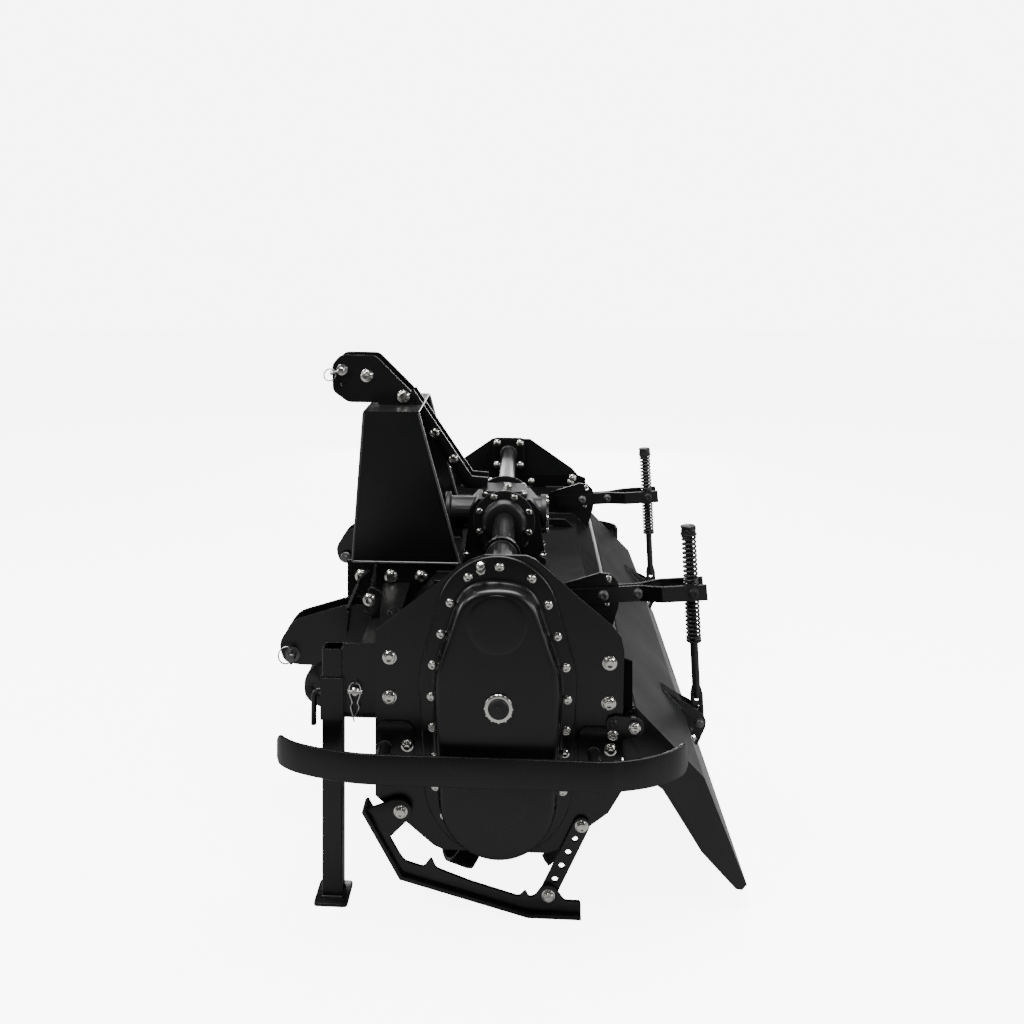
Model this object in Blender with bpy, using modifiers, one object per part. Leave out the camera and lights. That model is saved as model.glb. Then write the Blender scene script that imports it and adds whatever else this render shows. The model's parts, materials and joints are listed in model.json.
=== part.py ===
"""Three-point rotary tiller with a side gear drive, sized for a 1.8 m working width.

Frame: +X is the machine's left (drive) side, -Y is forward, +Z is up and Z = 0 is the ground.
Lengths are in metres. Y values below are measured from the rotor's axis.
"""

import math

import bmesh
import bpy
from mathutils import Matrix, Vector

# ---------------------------------------------------------------- overall sizes
WIDTH = 1.80  # between the outer faces of the two side plates
ROTOR_Y = 0.0172  # places the rotor's axis so that the origin is mid-length
GAP = 0.0003  # clearance left between neighbouring pieces

# ---------------------------------------------------------------- side plates and deck
PLATE = 0.008
PLATE_FRONT, PLATE_REAR = -0.265, 0.270
PLATE_BOTTOM = 0.125
PLATE_TOP = 0.762
RIGHT_PLATE_TOP = 0.680
DECK_Z = 0.500
DECK_SHEET = 0.005
DECK_FRONT, DECK_REAR = -0.262, 0.286
DECK_LIP = 0.425
FLANGE_TOP = 0.547

# ---------------------------------------------------------------- drive train
ROTOR_Z = 0.250
SHAFT_Z = 0.625
ROTOR_TUBE_R = 0.038
TINE_R = 0.222
TINE_THICK = 0.008
TINE_REACH = 0.070
HUBS = 8
HUB_R = 0.085
HUB_THICK = 0.010
TINES_PER_HUB = 6
COVER_FLANGE = 0.008
COVER_DEPTH = 0.052
GEARBOX_LENGTH = 0.240
GEARBOX_TOP = 0.702
PTO_R = 0.0174
PTO_GROOVE_R = 0.0146
PTO_TIP = -0.285

# ---------------------------------------------------------------- front beam and hitch
BEAM_Y0, BEAM_Y1 = -0.335, DECK_FRONT - GAP
BEAM_Z0, BEAM_Z1 = 0.400, 0.470
CLEVIS_X = 0.432
CLEVIS_GAP = 0.054
CLEVIS_PLATE = 0.012
LOWER_PIN_Y, LOWER_PIN_Z, LOWER_PIN_R = -0.537, 0.372, 0.0111
MAST_X = 0.175
MAST_PLATE = 0.008
MAST_TOP = 0.950
HITCH_X = 0.046
HITCH_PLATE = 0.012
TOP_PIN_Y, TOP_PIN_Z, TOP_PIN_R = -0.478, MAST_TOP + 0.103, 0.0095
SHIELD_SHEET = 0.004
SHIELD_X = MAST_X + MAST_PLATE / 2 + GAP + SHIELD_SHEET / 2

# ---------------------------------------------------------------- parking stands
STAND_X, STAND_Y = WIDTH / 2 - 0.028, -0.361
LEG = 0.0445
SLEEVE, SLEEVE_WALL = 0.0508, 0.0026
SLEEVE_Z0, SLEEVE_Z1 = 0.395, 0.486
LEG_TOP = 0.548
FOOT_X, FOOT_Y, FOOT_THICK = 0.090, 0.074, 0.008
STAND_BRACKET = 0.008
STAND_BRACKET_X = WIDTH / 2 - PLATE - GAP - STAND_BRACKET / 2
STAND_BRACKET_REAR = -0.200

# ---------------------------------------------------------------- bumpers and skids
BUMPER_OUT = 0.083  # outboard of the side plate
BUMPER_BAR = 0.008
BUMPER_Z0, BUMPER_Z1 = 0.302, 0.365
BUMPER_FRONT, BUMPER_REAR = -0.467, 0.404
SKID_PIVOT_Y, SKID_PIVOT_Z = -0.211, 0.205
STRAP_TOP_Y, STRAP_TOP_Z = 0.179, 0.191
STRAP_LOW_Y, STRAP_LOW_Z = 0.108, 0.045
STRAP_WIDTH, STRAP_THICK = 0.034, 0.008
SKID_THICK = 0.008
SKID_HOLE_R = 0.0068
SOLE_WIDTH = 0.060

# ---------------------------------------------------------------- flap and its spring rods
HINGE_Y, HINGE_Z = 0.291, 0.404
FLAP_SHEET = 0.004
FLAP_TOP_Y, FLAP_TOP_Z = 0.298, 0.424
FLAP_BEND_Y, FLAP_BEND_Z = 0.444, 0.276
FLAP_LOW_Y, FLAP_LOW_Z = 0.534, 0.048
FLAP_HALF = WIDTH / 2 - 0.042
ROD_X = 0.495
ROD_R = 0.0108
TRUNNION_Y, TRUNNION_Z = 0.472, 0.570
EYE_Y, EYE_Z = 0.488, 0.247
ROD_TOP = 0.158  # above the trunnion, along the rod
SWIVEL_HALF = 0.016
SPRING_R, SPRING_WIRE = 0.0160, 0.0030
UPPER_SPRING, LOWER_SPRING = 0.118, 0.108
ARM_BAR, ARM_HEIGHT, ARM_GAP = 0.008, 0.038, 0.0092
FORK_GAP = 0.055
ARM_Y0 = 0.165
ARM_TILT = math.radians(4.6)

SIDES = {"left": 1.0, "right": -1.0}


# ================================================================ scene and materials
def clear_scene():
    for obj in list(bpy.data.objects):
        bpy.data.objects.remove(obj, do_unlink=True)
    for mesh in list(bpy.data.meshes):
        bpy.data.meshes.remove(mesh)
    for curve in list(bpy.data.curves):
        bpy.data.curves.remove(curve)


def new_collection(name):
    collection = bpy.data.collections.new(name)
    bpy.context.scene.collection.children.link(collection)
    return collection


def make_material(name, colour, roughness, metallic):
    material = bpy.data.materials.new(name)
    material.use_nodes = True
    shader = material.node_tree.nodes["Principled BSDF"]
    shader.inputs["Base Color"].default_value = (*colour, 1.0)
    shader.inputs["Roughness"].default_value = roughness
    shader.inputs["Metallic"].default_value = metallic
    material.diffuse_color = (*colour, 1.0)
    return material


# ================================================================ building helpers
def link(obj):
    PARTS.objects.link(obj)
    return obj


def parent_to(obj, empty):
    obj.parent = empty
    obj.matrix_parent_inverse = empty.matrix_world.inverted()
    return obj


def pivot(name, x, y, z, parent=None):
    empty = bpy.data.objects.new(name, None)
    empty.empty_display_size = 0.05
    empty.location = (x, y, z)
    link(empty)
    bpy.context.view_layer.update()
    if parent:
        parent_to(empty, parent)
        bpy.context.view_layer.update()
    return empty


def circle(cy, cz, radius, count=20, start=0.0):
    turn = 2 * math.pi / count
    return [
        (cy + radius * math.cos(start + i * turn), cz + radius * math.sin(start + i * turn))
        for i in range(count)
    ]


def arc(cy, cz, radius, first, last, count):
    """Points from angle first to angle last, in degrees, both included."""
    steps = [math.radians(first + (last - first) * i / (count - 1)) for i in range(count)]
    return [(cy + radius * math.cos(a), cz + radius * math.sin(a)) for a in steps]


def square(cx, cy, half):
    """A square outline round this centre."""
    return [
        (cx - half, cy - half),
        (cx + half, cy - half),
        (cx + half, cy + half),
        (cx - half, cy + half),
    ]


def rounded(points, radius, count=4):
    """The outline with each corner replaced by a small arc-like chamfer of count points."""
    out = []
    total = len(points)
    for i in range(total):
        before = Vector(points[i - 1])
        here = Vector(points[i])
        after = Vector(points[(i + 1) % total])
        to_before = before - here
        to_after = after - here
        cut = min(radius, to_before.length * 0.45, to_after.length * 0.45)
        start = here + to_before.normalized() * cut
        end = here + to_after.normalized() * cut
        for k in range(count):
            t = k / (count - 1)
            point = start * (1 - t) ** 2 + here * 2 * t * (1 - t) + end * t**2
            out.append((point.x, point.y))
    return out


def offset_path(path, distance):
    """The path moved to its left by this distance, with mitred corners."""
    moved_points = []
    for i, point in enumerate(path):
        here = Vector(point)
        before = Vector(path[max(i - 1, 0)])
        after = Vector(path[min(i + 1, len(path) - 1)])
        first = (here - before).normalized() if i else (after - here).normalized()
        second = (after - here).normalized() if i < len(path) - 1 else first
        along = (first + second).normalized()
        across = Vector((-along.y, along.x))
        reach = distance / max(0.5, across.dot(Vector((-first.y, first.x))))
        moved_points.append(tuple(here + across * reach))
    return moved_points


def strip(path, thickness):
    """The outline of a bar of this thickness whose centre line is path."""
    return offset_path(path, thickness / 2) + offset_path(path, -thickness / 2)[::-1]


def outline_curve(name, loops, half):
    curve = bpy.data.curves.new(name, "CURVE")
    curve.dimensions = "2D"
    curve.fill_mode = "BOTH"
    curve.extrude = half
    for loop in loops:
        spline = curve.splines.new("POLY")
        spline.points.add(len(loop) - 1)
        for point, (u, v) in zip(spline.points, loop):
            point.co = (u, v, 0.0, 1.0)
        spline.use_cyclic_u = True
    return link(bpy.data.objects.new(name, curve))


def plate(name, outline, x, thickness, holes=()):
    """A flat plate parallel to the side plates: outline and holes are in (y, z)."""
    obj = outline_curve(name, [outline, *holes], thickness / 2)
    obj.rotation_euler = (math.pi / 2, 0, math.pi / 2)
    obj.location = (x, 0, 0)
    return obj


def slab(name, outline, z, thickness, holes=()):
    """A level plate: outline and holes are in (x, y)."""
    obj = outline_curve(name, [outline, *holes], thickness / 2)
    obj.location = (0, 0, z)
    return obj


def cross_plate(name, outline, y, thickness, holes=()):
    """A plate across the machine: outline and holes are in (x, z)."""
    obj = outline_curve(name, [outline, *holes], thickness / 2)
    obj.rotation_euler = (math.pi / 2, 0, 0)
    obj.location = (0, y, 0)
    return obj


def to_mesh(obj):
    """The object as a plain closed mesh, with its modifiers and its curve made real."""
    bpy.context.view_layer.update()
    graph = bpy.context.evaluated_depsgraph_get()
    mesh = bpy.data.meshes.new_from_object(obj.evaluated_get(graph))
    work = bmesh.new()
    work.from_mesh(mesh)
    bmesh.ops.remove_doubles(work, verts=work.verts, dist=1e-6)
    bmesh.ops.recalc_face_normals(work, faces=work.faces)
    work.to_mesh(mesh)
    work.free()
    made = bpy.data.objects.new(obj.name, mesh)
    made.matrix_world = obj.matrix_world
    name = obj.name
    bpy.data.objects.remove(obj, do_unlink=True)
    made.name = name
    return link(made)


def combine(base, others, operation):
    if base.type != "MESH" or base.modifiers:
        base = to_mesh(base)
    for other in others:
        if other.type != "MESH":
            other = to_mesh(other)
        modifier = base.modifiers.new("join", "BOOLEAN")
        modifier.operation = operation
        modifier.object = other
        base = to_mesh(base)
        bpy.data.objects.remove(other, do_unlink=True)
    return base


def fuse(base, *others):
    return combine(base, others, "UNION")


def carve(base, *others):
    return combine(base, others, "DIFFERENCE")


def box(name, x0, x1, y0, y1, z0, z1):
    mesh = bpy.data.meshes.new(name)
    work = bmesh.new()
    bmesh.ops.create_cube(work, size=1.0)
    bmesh.ops.scale(work, vec=(x1 - x0, y1 - y0, z1 - z0), verts=work.verts)
    work.to_mesh(mesh)
    work.free()
    obj = bpy.data.objects.new(name, mesh)
    obj.location = ((x0 + x1) / 2, (y0 + y1) / 2, (z0 + z1) / 2)
    return link(obj)


def rod(name, start, end, radius, sides=20):
    """A round bar from one point to another."""
    start, end = Vector(start), Vector(end)
    mesh = bpy.data.meshes.new(name)
    work = bmesh.new()
    length = (end - start).length
    bmesh.ops.create_cone(
        work, cap_ends=True, segments=sides, radius1=radius, radius2=radius, depth=length
    )
    work.to_mesh(mesh)
    work.free()
    obj = bpy.data.objects.new(name, mesh)
    obj.rotation_mode = "QUATERNION"
    obj.rotation_quaternion = Vector((0, 0, 1)).rotation_difference(end - start)
    obj.location = (start + end) / 2
    return link(obj)


def turned(name, profile, start, direction, steps=24):
    """A turned piece: profile is (distance along the axis, radius), from the far end back."""
    mesh = bpy.data.meshes.new(name)
    work = bmesh.new()
    verts = [work.verts.new((radius, 0, along)) for along, radius in profile]
    for first, second in zip(verts, verts[1:]):
        work.edges.new((first, second))
    work.to_mesh(mesh)
    work.free()
    obj = bpy.data.objects.new(name, mesh)
    screw = obj.modifiers.new("turn", "SCREW")
    screw.steps = steps
    screw.render_steps = steps
    screw.use_merge_vertices = True
    screw.merge_threshold = 0.00001
    obj.rotation_mode = "QUATERNION"
    obj.rotation_quaternion = Vector((0, 0, 1)).rotation_difference(Vector(direction))
    obj.location = start
    return link(obj)


def moved(obj, matrix):
    """Moves the object, as it stands in the world, by this matrix."""
    bpy.context.view_layer.update()
    obj.matrix_world = matrix @ obj.matrix_world
    bpy.context.view_layer.update()
    return obj


def finish(obj, material, smooth=False):
    if obj.type != "MESH" and smooth:
        obj = to_mesh(obj)
    obj.data.materials.clear()
    obj.data.materials.append(material)
    if smooth:
        obj.data.shade_smooth()
        obj.data.set_sharp_from_angle(angle=math.radians(35))
    return obj


# ================================================================ hood and side plates
def side_plate_left():
    """The drive-side plate, taller than the other because it backs the gear case."""
    outline = [
        (PLATE_FRONT, 0.236),
        (PLATE_FRONT, 0.593),
        (-0.094, 0.727),
        (-0.058, 0.751),
        (-0.028, PLATE_TOP),
        (0.062, PLATE_TOP),
        (0.082, 0.754),
        (0.175, 0.673),
        (0.245, 0.615),
        (0.264, 0.592),
        (PLATE_REAR, 0.562),
        (PLATE_REAR - 0.006, 0.262),
        (0.236, 0.216),
        (0.130, 0.136),
        (0.105, PLATE_BOTTOM),
        (-0.118, PLATE_BOTTOM),
        (-0.138, 0.133),
    ]
    return plate("side_plate_left", outline, WIDTH / 2 - PLATE / 2, PLATE)


def side_plate_right():
    outline = [
        (PLATE_FRONT, 0.236),
        (PLATE_FRONT, 0.535),
        (-0.212, 0.575),
        (-0.061, RIGHT_PLATE_TOP),
        (0.081, RIGHT_PLATE_TOP),
        (0.238, 0.572),
        (PLATE_REAR, 0.535),
        (PLATE_REAR - 0.006, 0.262),
        (0.236, 0.216),
        (0.130, 0.136),
        (0.105, PLATE_BOTTOM),
        (-0.118, PLATE_BOTTOM),
        (-0.138, 0.133),
    ]
    return plate("side_plate_right", outline, -WIDTH / 2 + PLATE / 2, PLATE)


def deck():
    """The bent sheet over the rotor, with a bolting flange at each end."""
    half = DECK_SHEET / 2
    path = [
        (DECK_FRONT + half, 0.400),
        (DECK_FRONT + half, DECK_LIP),
        (-0.190, DECK_Z - half),
        (0.226, DECK_Z - half),
        (DECK_REAR - half, 0.436),
    ]
    end = WIDTH / 2 - PLATE - GAP
    sheet = plate("deck", strip(path, DECK_SHEET), 0, 2 * end - 0.002)
    flange_outline = [
        (-0.190, DECK_Z - half),
        (-0.190, FLANGE_TOP),
        (0.262, FLANGE_TOP),
        (0.288, 0.538),
        (0.288, 0.434),
        (0.280, 0.434),
        (0.224, DECK_Z - half),
    ]
    flanges, notches = [], []
    for sign in SIDES.values():
        flanges.append(plate("flange", flange_outline, sign * (end - half), DECK_SHEET))
        edge = STAND_BRACKET_X - STAND_BRACKET / 2 - GAP
        x0, x1 = sorted((sign * edge, sign * (end + 0.01)))
        notches.append(box("notch", x0, x1, -0.30, STAND_BRACKET_REAR + GAP, 0.38, 0.56))
    return carve(fuse(sheet, *flanges), *notches)


def case_outline(top, top_r, shoulder, waist, bottom_z, bottom_r):
    """A long rounded case: a dome, flared shoulders, a slight waist and a round foot."""
    sides = arc(0, top - top_r, top_r, 38, 142, 13)
    front = [(-shoulder, 0.515), (-waist, 0.375)]
    foot = arc(0, bottom_z, bottom_r, 185, 355, 15)
    rear = [(waist, 0.375), (shoulder, 0.515)]
    return sides + front + foot + rear


def drive_case_cover():
    """The pressed cover of the side gear case: a bolted flange and a raised body."""
    face = WIDTH / 2 + GAP
    flange_outline = case_outline(0.762, 0.131, 0.170, 0.164, 0.272, 0.158)
    flange = plate("drive_case_cover", flange_outline, face + COVER_FLANGE / 2, COVER_FLANGE)
    body_outline = case_outline(0.704, 0.093, 0.134, 0.129, 0.252, 0.124)
    depth = COVER_DEPTH - 0.002
    body = to_mesh(plate("case_body", body_outline, face + 0.002 + depth / 2, depth))
    bevel = body.modifiers.new("rim", "BEVEL")
    bevel.width = 0.014
    bevel.segments = 3
    bevel.limit_method = "ANGLE"
    bevel.angle_limit = math.radians(60)
    return fuse(flange, to_mesh(body))


# ================================================================ drive train
def gearbox():
    """The centre gearbox: a ribbed housing, side covers, an input nose and a top cap."""
    half = GEARBOX_LENGTH / 2
    floor = DECK_Z + GAP
    section = [
        (-half, floor),
        (-half, 0.514),
        (-0.100, 0.522),
        (-0.100, 0.655),
        (-0.075, 0.684),
        (0.075, 0.684),
        (0.100, 0.655),
        (0.100, 0.522),
        (half, 0.514),
        (half, floor),
    ]
    body = plate("gearbox", section, 0, 0.150)
    covers = rod("covers", (-0.094, 0, SHAFT_Z), (0.094, 0, SHAFT_Z), 0.074, 32)
    nose = rod("nose", (0, -0.172, SHAFT_Z), (0, 0.118, SHAFT_Z), 0.048, 28)
    cap = box("cap", -0.055, 0.055, -0.062, 0.062, 0.660, GEARBOX_TOP)
    bore = rod("bore", (0, -0.20, SHAFT_Z), (0, -0.145, SHAFT_Z), PTO_R + 0.0008, 24)
    return carve(fuse(body, covers, nose, cap), bore)


def pto_shaft():
    """The splined input stub: six splines, each with a groove beside it."""
    spline = ((-0.30, PTO_R), (0.0, PTO_R), (0.30, PTO_R), (0.36, PTO_GROOVE_R), (0.68, PTO_GROOVE_R))
    points = []
    for i in range(6):
        for turn, radius in spline:
            angle = i * math.pi / 3 + turn
            points.append((radius * math.cos(angle), SHAFT_Z + radius * math.sin(angle)))
    length = -0.1455 - PTO_TIP
    return cross_plate("pto_shaft", points, PTO_TIP + length / 2, length)


def axle_tubes():
    """The tubes between the gearbox and the side plates; the drive side steps up in size."""
    face = WIDTH / 2 - PLATE - GAP
    inner = 0.094 + GAP
    thin, thick, collar = 0.030, 0.0375, 0.048
    left = [
        (face, 0),
        (face, 0.062),
        (face - 0.012, 0.062),
        (face - 0.012, thick),
        (0.440, thick),
        (0.440, collar),
        (0.422, collar),
        (0.422, thin),
        (inner, thin),
        (inner, 0),
    ]
    right = [
        (face, 0),
        (face, 0.055),
        (face - 0.012, 0.055),
        (face - 0.012, 0.028),
        (inner, 0.028),
        (inner, 0),
    ]
    return (
        turned("axle_tube_left", left, (0, 0, SHAFT_Z), (1, 0, 0)),
        turned("axle_tube_right", right, (0, 0, SHAFT_Z), (-1, 0, 0)),
    )


def rotor_bearing(side, sign):
    """The flanged bearing that carries the rotor's journal, inside the side plate."""
    face = WIDTH / 2 - PLATE - GAP
    profile = [
        (face, 0),
        (face, 0.062),
        (face - 0.010, 0.062),
        (face - 0.010, 0.046),
        (face - 0.030, 0.040),
        (face - 0.030, 0.0255),
        (face - 0.006, 0.0255),
        (face - 0.006, 0),
    ]
    return turned(f"rotor_bearing_{side}", profile, (0, 0, ROTOR_Z), (sign, 0, 0), 24)


def rotor_shaft():
    end = WIDTH / 2 - PLATE - GAP - 0.0065
    neck = end - 0.028
    profile = [
        (end, 0),
        (end, 0.025),
        (neck, 0.025),
        (neck, ROTOR_TUBE_R),
        (-neck, ROTOR_TUBE_R),
        (-neck, 0.025),
        (-end, 0.025),
        (-end, 0),
    ]
    return turned("rotor_shaft", profile, (0, 0, ROTOR_Z), (1, 0, 0), 24)


def tine(sign):
    """One L-shaped blade for a hub at the origin: a curved shank, then a blade to one side."""
    centre = [(0.000, 0.062), (-0.004, 0.105), (0.000, 0.150), (0.018, 0.190), (0.040, 0.206)]
    beside = sign * (HUB_THICK / 2 + TINE_THICK / 2 - 0.001)
    shank = to_mesh(plate("tine_shank", strip(centre, 0.036), beside, TINE_THICK))
    tip = [(-0.026, TINE_R - 0.010), (0.012, TINE_R - 0.004), (0.046, TINE_R - 0.018)]
    edge = strip(tip, TINE_THICK)
    blade = plate("tine_blade", edge, sign * TINE_REACH / 2, TINE_REACH)
    return fuse(shank, blade)


def hub_mesh(name, directions):
    """A hub plate with its tines, on the X axis. Directions gives each tine's side."""
    bore = [circle(0, 0, ROTOR_TUBE_R + GAP, 24)]
    hub = to_mesh(plate(name, circle(0, 0, HUB_R, 24), 0, HUB_THICK, bore))
    turn = 2 * math.pi / len(directions)
    for i, sign in enumerate(directions):
        blade = tine(sign)
        moved(blade, Matrix.Rotation(i * turn, 4, "X"))
        hub = fuse(hub, blade)
    hub.data.transform(hub.matrix_world)
    mesh = hub.data
    bpy.data.objects.remove(hub, do_unlink=True)
    return mesh


def tine_hubs():
    """Eight hubs along the rotor, each turned on from the last so that the tines spiral."""
    both = hub_mesh("hub_both", [1, -1] * (TINES_PER_HUB // 2))
    inward_left = hub_mesh("hub_left_end", [-1] * TINES_PER_HUB)
    inward_right = hub_mesh("hub_right_end", [1] * TINES_PER_HUB)
    first = -WIDTH / 2 + 0.062
    pitch = -2 * first / (HUBS - 1)
    hubs = []
    for i in range(HUBS):
        mesh = inward_right if i == 0 else inward_left if i == HUBS - 1 else both
        hub = bpy.data.objects.new(f"tine_hub_{i + 1}", mesh)
        hub.location = (first + i * pitch, 0, ROTOR_Z)
        hub.rotation_euler = (math.radians(100 + 22.5 * i), 0, 0)
        hubs.append(link(hub))
    return hubs


# ================================================================ beam, hitch and mast
def front_beam():
    """A square-section beam between the two stand brackets."""
    end = STAND_BRACKET_X - STAND_BRACKET / 2 - GAP
    return box("front_beam", -end, end, BEAM_Y0, BEAM_Y1 - GAP, BEAM_Z0, BEAM_Z1)


def hitch_clevis(side, sign):
    """Two lower-hitch plates joined by a pad on the front of the beam."""
    outline = rounded(
        [
            (-0.338, 0.500),
            (-0.400, 0.500),
            (-0.535, 0.458),
            (-0.574, 0.400),
            (-0.560, 0.352),
            (-0.520, 0.345),
            (-0.338, 0.345),
        ],
        0.020,
    )
    outline = [(min(y, BEAM_Y0 - GAP), z) for y, z in outline]
    hole = [circle(LOWER_PIN_Y, LOWER_PIN_Z, LOWER_PIN_R + GAP, 16)]
    apart = CLEVIS_GAP / 2 + CLEVIS_PLATE / 2
    centre = sign * CLEVIS_X
    near = plate(f"hitch_clevis_{side}", outline, centre + apart, CLEVIS_PLATE, hole)
    far = plate("far", outline, centre - apart, CLEVIS_PLATE, hole)
    reach = apart + CLEVIS_PLATE / 2 - 0.001
    pad = box("pad", centre - reach, centre + reach, -0.352, BEAM_Y0 - GAP, 0.347, 0.498)
    return fuse(near, pad, far)


def lower_pin(side, sign):
    centre = sign * CLEVIS_X
    reach = CLEVIS_GAP / 2 + CLEVIS_PLATE + 0.014
    return rod(
        f"lower_pin_{side}",
        (centre - reach, LOWER_PIN_Y, LOWER_PIN_Z),
        (centre + reach, LOWER_PIN_Y, LOWER_PIN_Z),
        LOWER_PIN_R,
    )


def mast_plate(side, sign):
    """The fore-and-aft plate on the beam and deck that carries the mast and the shield."""
    top = BEAM_Z1 + GAP
    outline = [
        (-0.442, 0.530),
        (-0.442, 0.425),
        (-0.415, 0.400),
        (BEAM_Y0 - GAP, 0.400),
        (BEAM_Y0 - GAP, top),
        (-0.222, top),
        (-0.193, DECK_Z + GAP),
        (-0.135, DECK_Z + GAP),
        (-0.135, 0.530),
    ]
    return plate(f"mast_plate_{side}", outline, sign * MAST_X, MAST_PLATE)


def mast_frame():
    """The arch inside the shield that stands on the beam and holds the top hitch."""
    top = MAST_TOP - GAP
    foot = BEAM_Z1 + GAP
    side = MAST_X - MAST_PLATE / 2 - GAP
    neck = HITCH_X - HITCH_PLATE / 2 - GAP
    outline = [
        (-neck, top + 0.050),
        (-neck, top - 0.052),
        (-side, 0.620),
        (-side, foot),
        (-side + 0.050, foot),
        (-side + 0.050, 0.610),
        (-0.035, top - 0.100),
        (0.035, top - 0.100),
        (side - 0.050, 0.610),
        (side - 0.050, foot),
        (side, foot),
        (side, 0.620),
        (neck, top - 0.052),
        (neck, top + 0.050),
    ]
    return cross_plate("mast_frame", outline, -0.316, 0.012)


def pto_shield():
    """The sheet cover over the input: two tapered sides and a top with slots for the hitch."""
    mesh = bpy.data.meshes.new("pto_shield")
    work = bmesh.new()
    top, low = MAST_TOP, 0.524
    corners = {}
    for sign in (1, -1):
        x = sign * SHIELD_X
        corners[sign] = [
            work.verts.new((x, -0.428, low)),
            work.verts.new((x, -0.396, top)),
            work.verts.new((x, -0.239, top)),
            work.verts.new((x, -0.122, low)),
        ]
    left, right = corners[1], corners[-1]
    work.faces.new(left)
    work.faces.new(right[::-1])
    work.faces.new((left[1], right[1], right[2], left[2]))
    bmesh.ops.recalc_face_normals(work, faces=work.faces)
    work.to_mesh(mesh)
    work.free()
    shield = link(bpy.data.objects.new("pto_shield", mesh))
    solid = shield.modifiers.new("sheet", "SOLIDIFY")
    solid.thickness = SHIELD_SHEET
    solid.offset = 0.0
    solid.use_even_offset = True
    slot_half = HITCH_X + HITCH_PLATE / 2 + 0.002
    slot = box("slot", -slot_half, slot_half, -0.370, -0.200, top - 0.02, top + 0.02)
    return carve(shield, slot)


def top_hitch(side, sign):
    """One of the two plates that take the top link's pin."""
    top = MAST_TOP
    outline = rounded(
        [
            (-0.484, top + 0.146),
            (-0.380, top + 0.145),
            (-0.268, top + 0.035),
            (-0.266, top + 0.005),
            (-0.266, top - 0.045),
            (-0.366, top - 0.045),
            (-0.366, top + 0.007),
            (-0.460, top + 0.007),
            (-0.506, top + 0.040),
            (-0.508, top + 0.118),
        ],
        0.012,
    )
    holes = [
        circle(TOP_PIN_Y, TOP_PIN_Z, TOP_PIN_R + GAP, 16),
        circle(-0.473, top + 0.061, 0.0095, 16),
    ]
    return plate(f"top_hitch_{side}", outline, sign * HITCH_X, HITCH_PLATE, holes)


def top_link_pin():
    reach = HITCH_X + HITCH_PLATE / 2 + 0.016
    return rod(
        "top_link_pin",
        (-reach, TOP_PIN_Y, TOP_PIN_Z),
        (reach, TOP_PIN_Y, TOP_PIN_Z),
        TOP_PIN_R,
    )


def mast_brace(side, sign):
    """A flat bar from the back of the top hitch down to the gearbox."""
    width = 0.036
    rest = GEARBOX_TOP + GAP + width / 2
    outline = strip([(-0.282, MAST_TOP + 0.035), (-0.080, rest), (0.030, rest)], width)
    x = sign * (HITCH_X - HITCH_PLATE / 2 - GAP - 0.004)
    return plate(f"mast_brace_{side}", outline, x, 0.008)


# ================================================================ stands
def stand_bracket(side, sign):
    """The plate inside the side plate with the square sleeve welded to its front edge."""
    outline = [
        (STAND_BRACKET_REAR, 0.412),
        (STAND_BRACKET_REAR, 0.560),
        (-0.336, 0.560),
        (-0.3375, 0.412),
    ]
    holder = plate(f"stand_bracket_{side}", outline, sign * STAND_BRACKET_X, STAND_BRACKET)
    half = SLEEVE / 2
    hole = half - SLEEVE_WALL
    sx = sign * STAND_X
    middle = (SLEEVE_Z0 + SLEEVE_Z1) / 2
    height = SLEEVE_Z1 - SLEEVE_Z0
    sleeve = slab("sleeve", square(sx, STAND_Y, half), middle, height, [square(sx, STAND_Y, hole)])
    return fuse(holder, sleeve)


def stand_leg(side, sign):
    """The square parking leg with its foot plate."""
    half = LEG / 2
    x, y = sign * STAND_X, STAND_Y
    leg = box(f"stand_leg_{side}", x - half, x + half, y - half, y + half, 0.004, LEG_TOP)
    foot = box("foot", x - FOOT_X / 2, x + FOOT_X / 2, y - FOOT_Y / 2, y + FOOT_Y / 2, 0, FOOT_THICK)
    return fuse(leg, foot)


# ================================================================ bumpers and skids
def bumper(side, sign):
    """A flat bar alongside the machine, bent in at both ends, on two stand-offs."""
    path = [
        (0.002, BUMPER_FRONT),
        (0.024, -0.447),
        (0.044, -0.420),
        (0.063, -0.375),
        (0.077, -0.318),
        (BUMPER_OUT, -0.255),
        (BUMPER_OUT, 0.215),
        (0.076, 0.258),
        (0.061, 0.305),
        (0.038, 0.348),
        (0.012, 0.380),
        (-0.022, BUMPER_REAR),
    ]
    path = [(sign * (WIDTH / 2 + out), y) for out, y in path]
    middle = (BUMPER_Z0 + BUMPER_Z1) / 2
    bar = slab(f"bumper_{side}", strip(path, BUMPER_BAR), middle, BUMPER_Z1 - BUMPER_Z0)
    inner = WIDTH / 2 + BUMPER_OUT - BUMPER_BAR / 2 + 0.002
    posts = []
    for y, reach in ((-0.195, inner), (0.240, inner - 0.004)):
        x0, x1 = sorted((sign * (WIDTH / 2 + GAP), sign * reach))
        low, high = BUMPER_Z0 + 0.008, BUMPER_Z1 - 0.008
        posts.append(box("post", x0, x1, y - 0.021, y + 0.021, low, high))
    return fuse(bar, *posts)


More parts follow.
